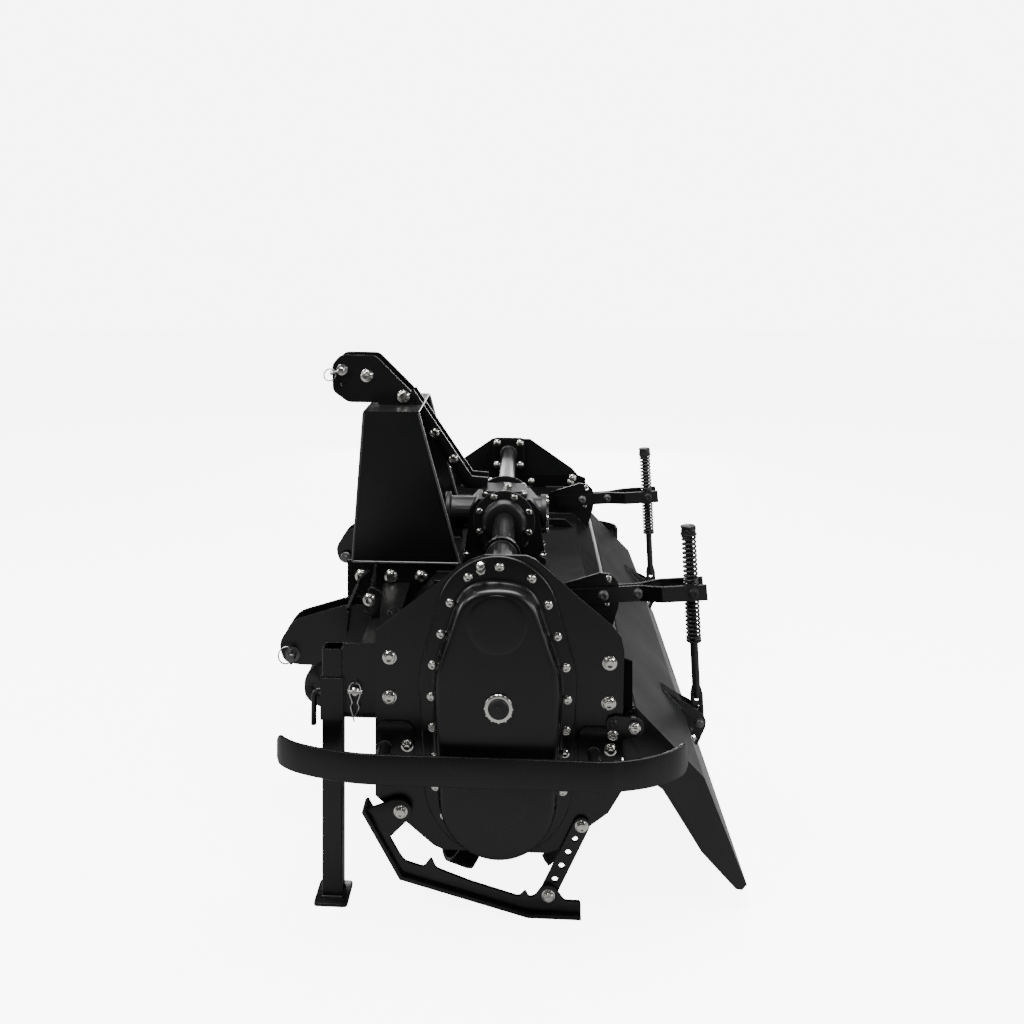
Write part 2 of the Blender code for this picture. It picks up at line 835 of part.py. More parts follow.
def skid(side, sign):
    """An angle-section runner: a web outside the side plate and a wide sole."""
    thick = SKID_THICK
    path = [(-0.289, 0.222), (-0.207, 0.074), (0.065, 0.004), (0.177, 0.004)]
    web = [
        (-0.285, 0.217),
        (-0.270, 0.222),
        (-0.222, 0.229),
        (-0.203, 0.228),
        (-0.188, 0.214),
        (-0.188, 0.196),
        (-0.200, 0.182),
        (-0.233, 0.154),
        (-0.200, 0.106),
        (-0.158, 0.094),
        (-0.142, 0.116),
        (-0.126, 0.086),
        (-0.060, 0.068),
        (0.058, 0.037),
        (0.082, 0.040),
        (0.094, 0.062),
        (0.108, 0.067),
        (0.123, 0.060),
        (0.142, 0.034),
        (0.177, 0.034),
        (0.177, 0.004),
        (0.065, 0.004),
        (-0.207, 0.074),
    ]
    x = sign * (WIDTH / 2 + 2 * GAP + STRAP_THICK + thick / 2)
    pivot_hole = circle(SKID_PIVOT_Y, SKID_PIVOT_Z, SKID_HOLE_R, 14)
    strap_hole = circle(STRAP_LOW_Y, STRAP_LOW_Z, SKID_HOLE_R, 14)
    runner = plate(f"skid_{side}", web, x, thick, [strap_hole, pivot_hole])
    middle = sign * (WIDTH / 2 + 0.026 - SOLE_WIDTH / 2)
    sole = plate("sole", strip(path, thick), middle, SOLE_WIDTH)
    depth = STRAP_THICK + GAP + 0.001
    boss_x = sign * (WIDTH / 2 + GAP + depth / 2)
    disc = circle(SKID_PIVOT_Y, SKID_PIVOT_Z, 0.017, 20)
    boss = plate("boss", disc, boss_x, depth, [pivot_hole])
    return fuse(runner, sole, boss)


def skid_strap(side, sign):
    """The flat bar with a row of holes that sets the skid's depth."""
    top = Vector((STRAP_TOP_Y, STRAP_TOP_Z))
    low = Vector((STRAP_LOW_Y, STRAP_LOW_Z))
    along = (top - low).normalized()
    angle = math.degrees(math.atan2(along.y, along.x))
    half = STRAP_WIDTH / 2
    outline = arc(top.x, top.y, half, angle - 90, angle + 90, 9)
    outline += arc(low.x, low.y, half, angle + 90, angle + 270, 9)
    spacing = (top - low).length / 5
    holes = []
    for i in range(6):
        centre = low + along * spacing * i
        holes.append(circle(centre.x, centre.y, 0.0066, 14))
    x = sign * (WIDTH / 2 + GAP + STRAP_THICK / 2)
    return plate(f"skid_strap_{side}", outline, x, STRAP_THICK, holes)


# ================================================================ flap, arms and spring rods
def tail_flap():
    """The bent sheet behind the rotor with an end cheek on each side."""
    path = [(FLAP_TOP_Y, FLAP_TOP_Z), (FLAP_BEND_Y, FLAP_BEND_Z), (FLAP_LOW_Y, FLAP_LOW_Z)]
    skin = plate("tail_flap", strip(path, FLAP_SHEET), 0, 2 * FLAP_HALF)
    cheek = [
        (0.300, 0.4235),
        (0.280, 0.420),
        (0.274, 0.404),
        (0.276, 0.380),
        (0.344, 0.268),
        (0.377, 0.216),
        (0.439, 0.117),
        (0.512, 0.040),
        (0.526, 0.038),
        (FLAP_LOW_Y, FLAP_LOW_Z),
        (FLAP_BEND_Y, FLAP_BEND_Z),
    ]
    hole = [circle(HINGE_Y, HINGE_Z, 0.0090, 16)]
    ends = []
    for sign in SIDES.values():
        ends.append(plate("cheek", cheek, sign * (FLAP_HALF - FLAP_SHEET / 2), FLAP_SHEET, hole))
    return fuse(skin, *ends)


def hinge_lug(side, sign):
    """The lug bolted outside the side plate, with the flap's pivot pin."""
    outline = arc(HINGE_Y, HINGE_Z, 0.020, -85, 80, 9)
    outline += [(0.250, 0.427), (0.236, 0.422), (0.232, 0.412), (0.232, 0.380), (0.240, 0.370)]
    x = sign * (WIDTH / 2 + GAP + 0.004)
    lug = plate(f"hinge_lug_{side}", outline, x, 0.008)
    start = sign * (FLAP_HALF - 0.014)
    end = sign * (WIDTH / 2 + 0.014)
    pin = rod("pin", (start, HINGE_Y, HINGE_Z), (end, HINGE_Y, HINGE_Z), 0.0080, 16)
    return fuse(lug, pin)


def flap_bracket(side, sign):
    """Two ears on the flap's bend that hold the spring rod's lower pin."""
    base = [(0.395, 0.3257), (FLAP_BEND_Y, FLAP_BEND_Z), (0.4775, 0.1911)]
    outline = [
        (0.438, 0.303),
        (0.468, 0.277),
        (0.496, 0.2625),
        (0.505, 0.250),
        (0.503, 0.236),
        (0.4845, 0.1940),
    ]
    outline += offset_path(base, FLAP_SHEET / 2 + GAP)[::-1]
    width = 0.044
    ears = plate(f"flap_bracket_{side}", outline, sign * ROD_X, width)
    slot_outline = [(0.462, 0.310), (0.530, 0.310), (0.530, 0.180), (0.497, 0.180), (0.462, 0.262)]
    slot = plate("slot", slot_outline, sign * ROD_X, 0.0160)
    ears = carve(ears, slot)
    half = width / 2 + 0.004
    x = sign * ROD_X
    pin = rod("pin", (x - half, EYE_Y, EYE_Z), (x + half, EYE_Y, EYE_Z), 0.0060, 14)
    return fuse(ears, pin)


def arm_bracket(side, sign):
    """The plate over the deck's rear corner that holds the arm at its height."""
    over = DECK_Z + GAP
    outline = [
        (0.085, over),
        (0.150, 0.575),
        (0.246, 0.606),
        (0.272, 0.603),
        (0.290, 0.585),
        (0.297, 0.560),
        (0.291, 0.520),
        (0.276, 0.470),
        (0.272, 0.4545),
        (0.2285, over),
    ]
    holes = [circle(0.270, 0.588, 0.0055, 14)]
    return plate(f"arm_bracket_{side}", outline, sign * ROD_X, 0.008, holes)


def lift_arm(side, sign):
    """Two bars either side of the bracket that open into a fork round the trunnion."""
    length = TRUNNION_Y - ARM_Y0
    near = ARM_GAP / 2 + ARM_BAR / 2
    wide = FORK_GAP / 2 + ARM_BAR / 2
    bars = []
    for hand in (1, -1):
        path = [
            (hand * near, 0),
            (hand * near, 0.178),
            (hand * wide, 0.232),
            (hand * wide, length + 0.034),
        ]
        bars.append(slab("bar", strip(path, ARM_BAR), 0, ARM_HEIGHT))
    bars[0].name = f"lift_arm_{side}"
    spacer = box("spacer", -near, near, 0.160, 0.184, -0.011, 0.011)
    arm = fuse(bars[0], spacer, bars[1])
    for hand in (1, -1):
        x = hand * wide
        hole = rod("hole", (x - 0.01, length, 0), (x + 0.01, length, 0), 0.0075, 16)
        arm = carve(arm, hole)
    drop = Matrix.Rotation(ARM_TILT, 4, "X")
    place = Matrix.Translation((sign * ROD_X, TRUNNION_Y, TRUNNION_Z))
    return moved(arm, place @ drop @ Matrix.Translation((0, -length, 0)))


def rod_axis():
    """The unit vector up along the spring rod."""
    return Vector((0, TRUNNION_Y - EYE_Y, TRUNNION_Z - EYE_Z)).normalized()


def along_rod(sign, distance):
    """The point on the rod's axis this far above the trunnion."""
    return Vector((sign * ROD_X, TRUNNION_Y, TRUNNION_Z)) + rod_axis() * distance


def swivel(side, sign):
    """The trunnion block in the fork, bored for the rod."""
    half = FORK_GAP / 2 - 0.0015
    x = sign * ROD_X
    deep = SWIVEL_HALF
    block = box(f"swivel_{side}", -half, half, -deep, deep, -deep, deep)
    pin_reach = FORK_GAP / 2 + ARM_BAR + 0.004
    pins = rod("pins", (-pin_reach, 0, 0), (pin_reach, 0, 0), 0.0068, 16)
    hole = rod("hole", (0, 0, -0.03), (0, 0, 0.03), ROD_R + 0.0005, 16)
    body = carve(fuse(block, pins), hole)
    tilt = Vector((0, 0, 1)).rotation_difference(rod_axis()).to_matrix().to_4x4()
    return moved(body, Matrix.Translation((x, TRUNNION_Y, TRUNNION_Z)) @ tilt)


def spring_rod(side, sign):
    """The rod through the trunnion: a top nut, two spring seats and a flat eye at the foot."""
    seat_up = SWIVEL_HALF + UPPER_SPRING + 2 * 0.0006
    seat_low = -(SWIVEL_HALF + LOWER_SPRING + 2 * 0.0006)
    eye = -(Vector((TRUNNION_Y - EYE_Y, TRUNNION_Z - EYE_Z)).length)
    start = along_rod(sign, 0)
    profile = [
        (ROD_TOP + 0.010, 0),
        (ROD_TOP + 0.010, 0.009),
        (ROD_TOP, ROD_R),
        (ROD_TOP - 0.002, 0.019),
        (seat_up, 0.019),
        (seat_up - 0.0002, ROD_R),
        (seat_low + 0.0002, ROD_R),
        (seat_low, 0.019),
        (seat_low - 0.006, 0.019),
        (seat_low - 0.006, ROD_R),
        (eye + 0.070, ROD_R),
        (eye + 0.050, 0.0068),
        (eye + 0.050, 0),
    ]
    bar = turned(f"spring_rod_{side}", profile, start, rod_axis(), 20)
    half = 0.0155
    blade = arc(0, 0, half, 180, 360, 9)
    blade += [(half, 0.080), (0.008, 0.098), (-0.008, 0.098), (-half, 0.080)]
    holes = [circle(0, 0, 0.0092, 16), circle(0, 0.030, 0.0062, 14), circle(0, 0.050, 0.0062, 14)]
    flat = plate("flat", blade, 0, 0.010, holes)
    tilt = Vector((0, 0, 1)).rotation_difference(rod_axis()).to_matrix().to_4x4()
    moved(flat, Matrix.Translation(along_rod(sign, eye)) @ tilt)
    return fuse(bar, flat)


def spring(name, sign, foot, length, turns):
    """A coil on the rod from foot upwards."""
    curve = bpy.data.curves.new(name, "CURVE")
    curve.dimensions = "3D"
    curve.bevel_depth = SPRING_WIRE
    curve.bevel_resolution = 0
    curve.use_fill_caps = True
    count = turns * 8 + 1
    spline = curve.splines.new("POLY")
    spline.points.add(count - 1)
    for i, point in enumerate(spline.points):
        angle = 2 * math.pi * i / 8
        height = SPRING_WIRE + (length - 2 * SPRING_WIRE) * i / (count - 1)
        point.co = (SPRING_R * math.cos(angle), SPRING_R * math.sin(angle), height, 1.0)
    obj = link(bpy.data.objects.new(name, curve))
    obj.rotation_mode = "QUATERNION"
    obj.rotation_quaternion = Vector((0, 0, 1)).rotation_difference(rod_axis())
    obj.location = along_rod(sign, foot)
    return obj


# ================================================================ assembly
def build_frame(root, paint, steel):
    pieces = [side_plate_left(), side_plate_right(), deck(), front_beam(), mast_frame()]
    pieces += [pto_shield(), top_link_pin()]
    for side, sign in SIDES.items():
        pieces += [
            stand_bracket(side, sign),
            hitch_clevis(side, sign),
            lower_pin(side, sign),
            mast_plate(side, sign),
            top_hitch(side, sign),
            mast_brace(side, sign),
            bumper(side, sign),
            skid(side, sign),
            skid_strap(side, sign),
            hinge_lug(side, sign),
            arm_bracket(side, sign),
            lift_arm(side, sign),
        ]
    for piece in pieces:
        bright = "pin" in piece.name
        parent_to(finish(piece, steel if bright else paint, bright), root)
    for piece in (drive_case_cover(), gearbox(), *axle_tubes()):
        parent_to(finish(piece, paint, True), root)
    for side, sign in SIDES.items():
        parent_to(finish(rotor_bearing(side, sign), paint, True), root)


def build_rotor(root, paint):
    spindle = pivot("rotor_axis", 0, 0, ROTOR_Z, root)
    parent_to(finish(rotor_shaft(), paint, True), spindle)
    for hub in tine_hubs():
        parent_to(finish(hub, paint), spindle)


def build_input(root, steel):
    axis = pivot("pto_axis", 0, PTO_TIP, SHAFT_Z, root)
    parent_to(finish(pto_shaft(), steel), axis)


def build_flap(root, paint):
    hinge = pivot("flap_axis", 0, HINGE_Y, HINGE_Z, root)
    parent_to(finish(tail_flap(), paint), hinge)
    for side, sign in SIDES.items():
        parent_to(finish(flap_bracket(side, sign), paint), hinge)


def build_spring_rods(root, paint, steel):
    for side, sign in SIDES.items():
        trunnion = pivot(f"trunnion_axis_{side}", sign * ROD_X, TRUNNION_Y, TRUNNION_Z, root)
        parent_to(finish(swivel(side, sign), paint), trunnion)
        parent_to(finish(spring_rod(side, sign), paint, True), trunnion)
        clear = SWIVEL_HALF + 0.0006
        upper = spring(f"spring_upper_{side}", sign, clear, UPPER_SPRING, 7)
        lower = spring(f"spring_lower_{side}", sign, -clear - LOWER_SPRING, LOWER_SPRING, 7)
        parent_to(finish(upper, steel), trunnion)
        parent_to(finish(lower, steel), trunnion)


def build_stands(root, paint):
    for side, sign in SIDES.items():
        slide = pivot(f"stand_axis_{side}", sign * STAND_X, STAND_Y, 0, root)
        parent_to(finish(stand_leg(side, sign), paint), slide)


def build_tiller():
    root = pivot("tiller_origin", 0, 0, 0)
    paint = make_material("black_paint", (0.012, 0.012, 0.013), 0.32, 0.0)
    steel = make_material("bright_steel", (0.62, 0.62, 0.63), 0.28, 1.0)
    spring_steel = make_material("spring_black", (0.02, 0.02, 0.021), 0.38, 0.3)
    blade_paint = make_material("rotor_paint", (0.016, 0.016, 0.017), 0.45, 0.1)
    build_frame(root, paint, steel)
    build_rotor(root, blade_paint)
    build_input(root, steel)
    build_flap(root, paint)
    build_spring_rods(root, paint, spring_steel)
    build_stands(root, paint)
    root.location = (0, ROTOR_Y, 0)
    bpy.context.view_layer.update()


clear_scene()
PARTS = new_collection("rotary_tiller")
build_tiller()
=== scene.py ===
"""Finishes the rotary tiller: paint, fasteners, springs, pins, weld beads and the studio stage.

Laid out as an add-on. Each operator makes one group of pieces round the loaded frame. Lengths are in
metres, +X is the machine's left side, -Y is forward and +Z is up.
"""

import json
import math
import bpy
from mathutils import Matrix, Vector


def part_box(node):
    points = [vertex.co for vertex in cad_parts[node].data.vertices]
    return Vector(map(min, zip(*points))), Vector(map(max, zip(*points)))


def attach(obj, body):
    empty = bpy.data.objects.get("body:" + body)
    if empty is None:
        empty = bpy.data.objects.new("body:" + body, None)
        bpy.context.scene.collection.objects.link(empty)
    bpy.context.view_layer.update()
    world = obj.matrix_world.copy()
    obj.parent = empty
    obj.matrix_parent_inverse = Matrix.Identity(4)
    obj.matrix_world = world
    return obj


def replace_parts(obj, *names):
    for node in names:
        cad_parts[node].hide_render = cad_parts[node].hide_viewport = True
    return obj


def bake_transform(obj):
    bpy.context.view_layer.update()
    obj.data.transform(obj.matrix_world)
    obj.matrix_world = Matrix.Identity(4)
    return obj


bl_info = {
    "name": "Rotary Tiller",
    "version": (1, 0, 0),
    "blender": (4, 5, 0),
    "location": "View3D > Sidebar > Tiller",
    "description": "Builds the finish, fasteners and fittings of a three-point rotary tiller",
    "category": "Object",
}

import bmesh
import bpy
from bpy.props import FloatProperty, FloatVectorProperty, IntProperty, PointerProperty
from mathutils import Matrix, Vector

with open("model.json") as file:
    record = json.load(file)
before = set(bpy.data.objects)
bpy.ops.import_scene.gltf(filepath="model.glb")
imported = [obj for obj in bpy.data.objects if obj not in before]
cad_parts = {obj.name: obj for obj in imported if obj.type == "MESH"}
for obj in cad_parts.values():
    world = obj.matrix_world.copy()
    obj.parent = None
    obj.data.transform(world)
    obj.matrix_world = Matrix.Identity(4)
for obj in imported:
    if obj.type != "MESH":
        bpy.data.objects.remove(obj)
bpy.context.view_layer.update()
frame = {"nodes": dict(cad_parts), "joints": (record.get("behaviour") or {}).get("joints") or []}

# ---------------------------------------------------------------- places taken from the frame
JOINTS = {joint["name"]: joint for joint in frame["joints"]}
AXIS_Y, AXIS_Z = JOINTS["rotor_spin"]["pos_m"][1:]
SHAFT_Z = JOINTS["pto_spin"]["pos_m"][2]
HINGE = Vector(JOINTS["flap_hinge"]["pos_m"])
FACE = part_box("side_plate_left")[1].x
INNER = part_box("side_plate_left")[0].x
SIDES = {"left": 1.0, "right": -1.0}
UP = Vector((0, 0, 1))
ACROSS = Vector((1, 0, 0))
ALONG = Vector((0, 1, 0))


def at(x, y, z):
    """A point whose y is measured from the rotor's axis."""
    return Vector((x, AXIS_Y + y, z))


# ================================================================ settings
class TillerSettings(bpy.types.PropertyGroup):
    """Sizes and colours of the finish."""

    paint_colour: FloatVectorProperty(
        name="Paint", description="Colour of the powder coat", subtype="COLOR",
        size=3, default=(0.0026, 0.0026, 0.0027), min=0, max=1,
    )
    dust_colour: FloatVectorProperty(
        name="Dust", description="Colour of the light film on level faces", subtype="COLOR",
        size=3, default=(0.012, 0.0117, 0.0112), min=0, max=1,
    )
    zinc_colour: FloatVectorProperty(
        name="Zinc", description="Colour of the plated fasteners", subtype="COLOR",
        size=3, default=(0.62, 0.62, 0.61), min=0, max=1,
    )
    floor_colour: FloatVectorProperty(
        name="Floor", description="Colour of the studio floor", subtype="COLOR",
        size=3, default=(0.90, 0.90, 0.90), min=0, max=1,
    )
    edge_radius: FloatProperty(
        name="Edge radius", description="Rounding of cut plate edges", unit="LENGTH",
        default=0.0015, min=0.0002, max=0.004,
    )
    cover_bolt: FloatProperty(
        name="Cover bolt", description="Hex size across corners of the gear case bolts",
        unit="LENGTH", default=0.0148, min=0.008, max=0.03,
    )
    frame_bolt: FloatProperty(
        name="Frame bolt", description="Hex size across corners of the side plate bolts",
        unit="LENGTH", default=0.0235, min=0.012, max=0.04,
    )
    spring_turns: IntProperty(
        name="Spring turns", description="Active turns of each flap spring",
        default=11, min=5, max=20,
    )
    bead_size: FloatProperty(
        name="Weld size", description="Radius of a weld bead", unit="LENGTH",
        default=0.0034, min=0.001, max=0.01,
    )


def settings():
    """The settings that the sidebar shows."""
    return bpy.context.scene.tiller


# ================================================================ materials
def group_socket(group, name, direction, kind="NodeSocketFloat", default=None):
    """Adds a socket to a node group."""
    socket = group.interface.new_socket(name=name, in_out=direction, socket_type=kind)
    if default is not None:
        socket.default_value = default
    return socket


def node(tree, kind, **values):
    """Adds a node with its properties set."""
    made = tree.nodes.new(kind)
    for key, value in values.items():
        setattr(made, key, value)
    return made


def orange_peel_group():
    """Fine ripple of a sprayed coat and a slow change of gloss: a height and a gloss mask."""
    name = "Orange peel"
    if name in bpy.data.node_groups:
        return bpy.data.node_groups[name]
    group = bpy.data.node_groups.new(name, "ShaderNodeTree")
    group_socket(group, "Ripple", "INPUT", default=420.0)
    group_socket(group, "Patch", "INPUT", default=5.0)
    group_socket(group, "Height", "OUTPUT")
    group_socket(group, "Gloss", "OUTPUT")
    start = node(group, "NodeGroupInput")
    end = node(group, "NodeGroupOutput")
    place = node(group, "ShaderNodeTexCoord")
    ripple = node(group, "ShaderNodeTexNoise")
    ripple.inputs["Detail"].default_value = 1.5
    patch = node(group, "ShaderNodeTexNoise")
    patch.inputs["Detail"].default_value = 2.5
    patch.inputs["Roughness"].default_value = 0.5
    link = group.links.new
    link(place.outputs["Object"], ripple.inputs["Vector"])
    link(place.outputs["Object"], patch.inputs["Vector"])
    link(start.outputs["Ripple"], ripple.inputs["Scale"])
    link(start.outputs["Patch"], patch.inputs["Scale"])
    link(ripple.outputs["Fac"], end.inputs["Height"])
    link(patch.outputs["Fac"], end.inputs["Gloss"])
    return group


def settled_dust_group():
    """A mask of thin dust: most on faces that look up, broken by noise."""
    name = "Settled dust"
    if name in bpy.data.node_groups:
        return bpy.data.node_groups[name]
    group = bpy.data.node_groups.new(name, "ShaderNodeTree")
    group_socket(group, "Amount", "INPUT", default=0.5)
    group_socket(group, "Mask", "OUTPUT")
    start = node(group, "NodeGroupInput")
    end = node(group, "NodeGroupOutput")
    surface = node(group, "ShaderNodeNewGeometry")
    split = node(group, "ShaderNodeSeparateXYZ")
    upward = node(group, "ShaderNodeMapRange")
    upward.inputs["From Min"].default_value = 0.1
    upward.inputs["From Max"].default_value = 0.95
    place = node(group, "ShaderNodeTexCoord")
    speck = node(group, "ShaderNodeTexNoise")
    speck.inputs["Scale"].default_value = 26.0
    speck.inputs["Detail"].default_value = 8.0
    speck.inputs["Roughness"].default_value = 0.7
    spread = node(group, "ShaderNodeMapRange")
    spread.inputs["From Min"].default_value = 0.42
    spread.inputs["From Max"].default_value = 0.68
    both = node(group, "ShaderNodeMath", operation="MULTIPLY")
    out = node(group, "ShaderNodeMath", operation="MULTIPLY", use_clamp=True)
    link = group.links.new
    link(surface.outputs["Normal"], split.inputs[0])
    link(split.outputs["Z"], upward.inputs["Value"])
    link(place.outputs["Object"], speck.inputs["Vector"])
    link(speck.outputs["Fac"], spread.inputs["Value"])
    link(upward.outputs["Result"], both.inputs[0])
    link(spread.outputs["Result"], both.inputs[1])
    link(both.outputs[0], out.inputs[0])
    link(start.outputs["Amount"], out.inputs[1])
    link(out.outputs[0], end.inputs["Mask"])
    return group


def new_material(name):
    """A material with its tree and its principled shader."""
    material = bpy.data.materials.new(name)
    material.use_nodes = True
    tree = material.node_tree
    return material, tree, tree.nodes["Principled BSDF"]


def use_group(tree, group, **values):
    """Places a node group with its inputs set."""
    placed = node(tree, "ShaderNodeGroup", node_tree=group)
    for key, value in values.items():
        placed.inputs[key].default_value = value
    return placed


def roughness_between(tree, shader, mask, low, high):
    """Lets a mask vary the roughness between two values."""
    spread = node(tree, "ShaderNodeMapRange")
    spread.inputs["From Min"].default_value = 0.3
    spread.inputs["From Max"].default_value = 0.7
    spread.inputs["To Min"].default_value = low
    spread.inputs["To Max"].default_value = high
    tree.links.new(mask, spread.inputs["Value"])
    tree.links.new(spread.outputs["Result"], shader.inputs["Roughness"])


def bump_from(tree, shader, height, strength, distance):
    """Turns a height into bump on the shader."""
    bump = node(tree, "ShaderNodeBump")
    bump.inputs["Strength"].default_value = strength
    bump.inputs["Distance"].default_value = distance
    tree.links.new(height, bump.inputs["Height"])
    tree.links.new(bump.outputs["Normal"], shader.inputs["Normal"])


def coat_paint(name, colour, low, high, ripple=420.0, dust=0.15, specular=0.4):
    """A black powder coat with orange peel, uneven gloss and a trace of dust."""
    material, tree, shader = new_material(name)
    peel = use_group(tree, orange_peel_group(), Ripple=ripple)
    film = use_group(tree, settled_dust_group(), Amount=dust)
    mix = node(tree, "ShaderNodeMix", data_type="RGBA")
    mix.inputs["A"].default_value = (*colour, 1)
    mix.inputs["B"].default_value = (*settings().dust_colour, 1)
    tree.links.new(film.outputs["Mask"], mix.inputs["Factor"])
    tree.links.new(mix.outputs["Result"], shader.inputs["Base Color"])
    shader.inputs["Specular IOR Level"].default_value = specular
    roughness_between(tree, shader, peel.outputs["Gloss"], low, high)
    bump_from(tree, shader, peel.outputs["Height"], 0.05, 0.0004)
    return material


def plated_metal(name, colour, low, high, grain=160.0, cast=(1.0, 0.97, 0.90)):
    """Zinc or bare steel: metallic, with a slow colour cast and fine scratches."""
    material, tree, shader = new_material(name)
    peel = use_group(tree, orange_peel_group(), Ripple=grain, Patch=60.0)
    mix = node(tree, "ShaderNodeMix", data_type="RGBA")
    mix.inputs["A"].default_value = (*colour, 1)
    mix.inputs["B"].default_value = tuple(c * t for c, t in zip(colour, cast)) + (1,)
    tree.links.new(peel.outputs["Gloss"], mix.inputs["Factor"])
    tree.links.new(mix.outputs["Result"], shader.inputs["Base Color"])
    shader.inputs["Metallic"].default_value = 1.0
    roughness_between(tree, shader, peel.outputs["Gloss"], low, high)
    bump_from(tree, shader, peel.outputs["Height"], 0.12, 0.0003)
    return material


def plain_finish(name, colour, low, high, metallic=0.0, scale=90.0):
    """Rubber, nylon or dark steel with a fine uneven surface."""
    material, tree, shader = new_material(name)
    peel = use_group(tree, orange_peel_group(), Ripple=scale * 4, Patch=scale / 6)
    tint = node(tree, "ShaderNodeMix", data_type="RGBA")
    tint.inputs["A"].default_value = (*colour, 1)
    tint.inputs["B"].default_value = tuple(min(1, c * 1.6) for c in colour) + (1,)
    tree.links.new(peel.outputs["Gloss"], tint.inputs["Factor"])
    tree.links.new(tint.outputs["Result"], shader.inputs["Base Color"])
    shader.inputs["Metallic"].default_value = metallic
    roughness_between(tree, shader, peel.outputs["Gloss"], low, high)
    bump_from(tree, shader, peel.outputs["Height"], 0.15, 0.0003)
    return material


def painted(low, high, colour=None, **values):
    """A maker for coat_paint; without a colour it takes the settings' paint."""
    return lambda name: coat_paint(name, colour or settings().paint_colour, low, high, **values)


def plated(low, high, colour=None):
    """A maker for plated_metal; without a colour it takes the settings' zinc."""
    return lambda name: plated_metal(name, colour or settings().zinc_colour, low, high)


def plain(low, high, colour, metallic=0.0):
    """A maker for plain_finish."""
    return lambda name: plain_finish(name, colour, low, high, metallic)


# Each finish: its roughness from and to, its colour, then what differs from the usual.
MATERIAL_MAKERS = {
    "Black powder coat": painted(0.25, 0.36),
    # The flap's coat is a lighter copy of the black powder coat: painted reflection of the light behind the
    # machine.
    "Flap coat with painted reflection": painted(0.32, 0.42, (0.0085, 0.0085, 0.0087), specular=0.35),
    # The deck's coat is a darker copy of the black powder coat: painted shade that keeps the upturned deck
    # dark under the top light.
    "Deck coat darkened as painted shade": painted(0.50, 0.62, (0.0015, 0.0015, 0.0016), dust=0.03, specular=0.06),
    # The hem coat is a lighter copy of the black powder coat: painted highlight along the shield's hems.
    "Hem coat lightened as painted highlight": painted(0.20, 0.30, (0.030, 0.030, 0.031), specular=1.0),
    "Rotor paint": painted(0.36, 0.52, (0.011, 0.011, 0.012), dust=0.6),
    "Cast housing paint": painted(0.32, 0.46, (0.005, 0.005, 0.0053), ripple=190.0, specular=0.35),
    "Weld bead paint": painted(0.30, 0.46, (0.010, 0.010, 0.011), ripple=260.0),
    "Zinc plate": plated(0.12, 0.26),
    "Bright pin steel": plated(0.18, 0.32, (0.56, 0.56, 0.57)),
    "Clip wire": plated(0.26, 0.40, (0.24, 0.24, 0.245)),
    "Dull pin steel": plated(0.34, 0.50, (0.13, 0.13, 0.135)),
    "Machined steel": plated(0.26, 0.42, (0.48, 0.48, 0.49)),
    "Black oxide": plain(0.28, 0.45, (0.018, 0.018, 0.019), 0.6),
    "Black nylon": plain(0.50, 0.64, (0.003, 0.003, 0.003)),
    "Spring black": plain(0.24, 0.38, (0.016, 0.016, 0.017), 0.4),
}


def finish_named(name):
    """The material of that name, made when it is first asked for."""
    if name not in bpy.data.materials:
        MATERIAL_MAKERS[name](name)
    return bpy.data.materials[name]


# ================================================================ shaping helpers
def put(work, made, matrix):
    """Moves what bmesh has just made, and returns its vertices."""
    verts = [element for element in made["verts"] if isinstance(element, bmesh.types.BMVert)]
    bmesh.ops.transform(work, matrix=matrix, verts=verts)
    return verts


def pose(point, axis, spin=0.0):
    """A matrix that puts local Z along axis at the point, turned by spin round it."""
    turn = UP.rotation_difference(Vector(axis).normalized()).to_matrix().to_4x4()
    return Matrix.Translation(point) @ turn @ Matrix.Rotation(spin, 4, "Z")


def drum(work, point, axis, low, high, depth, sides=32, spin=0.0):
    """A closed cone frustum standing on the point along axis."""
    made = bmesh.ops.create_cone(
        work, cap_ends=True, segments=sides, radius1=low, radius2=high, depth=depth
    )
    lift = Matrix.Translation((0, 0, depth / 2))
    return put(work, made, pose(point, axis, spin) @ lift)


# Turned shapes of a bolt head, as (distance along the axis, radius): shares of the hex size.
BOLT_WASHER = ((0, 0.67), (0.07, 0.67), (0.09, 0.64))
BOLT_FLANGE = ((0, 0.57), (0.05, 0.56), (0.12, 0.46))
BOLT_TOP = ((0, 0.43), (0.03, 0.37), (0.03, 0.26), (0.004, 0.22), (0.002, 0.01))


def sized(profile, size):
    """A turned profile grown from shares to its size."""
    return [(along * size, radius * size) for along, radius in profile]


def hex_bolt(work, point, axis, size, washer=True, spin=0.3, tail=0.0):
    """A flanged hex head: washer, flange, hex, dished top and, if asked, a thread end beyond it."""
    axis = Vector(axis).normalized()
    here = Vector(point)
    if washer:
        lathe(work, here, axis, sized(BOLT_WASHER, size), 32)
        here = here + axis * size * 0.085
    lathe(work, here, axis, sized(BOLT_FLANGE, size), 32)
    here = here + axis * size * 0.08
    drum(work, here, axis, size * 0.45, size * 0.45, size * 0.32, 6, spin)
    top = here + axis * size * 0.32
    lathe(work, top, axis, sized(BOLT_TOP, size), 24)
    if tail:
        screw_end(work, top, axis, size * 0.26, tail)


def bolt_circle(work, centre, axis, radius, count, size, first=0.0, spin=None, washer=True):
    """Bolts spread evenly round an axis that runs across or along the machine."""
    for k in range(count):
        angle = math.radians(first + 360 / count * k)
        turn = (math.cos(angle), math.sin(angle))
        ray = Vector((0, *turn)) if abs(axis.x) > 0.5 else Vector((turn[0], 0, turn[1]))
        hex_bolt(work, centre + ray * radius, axis, size, washer, angle if spin is None else spin)


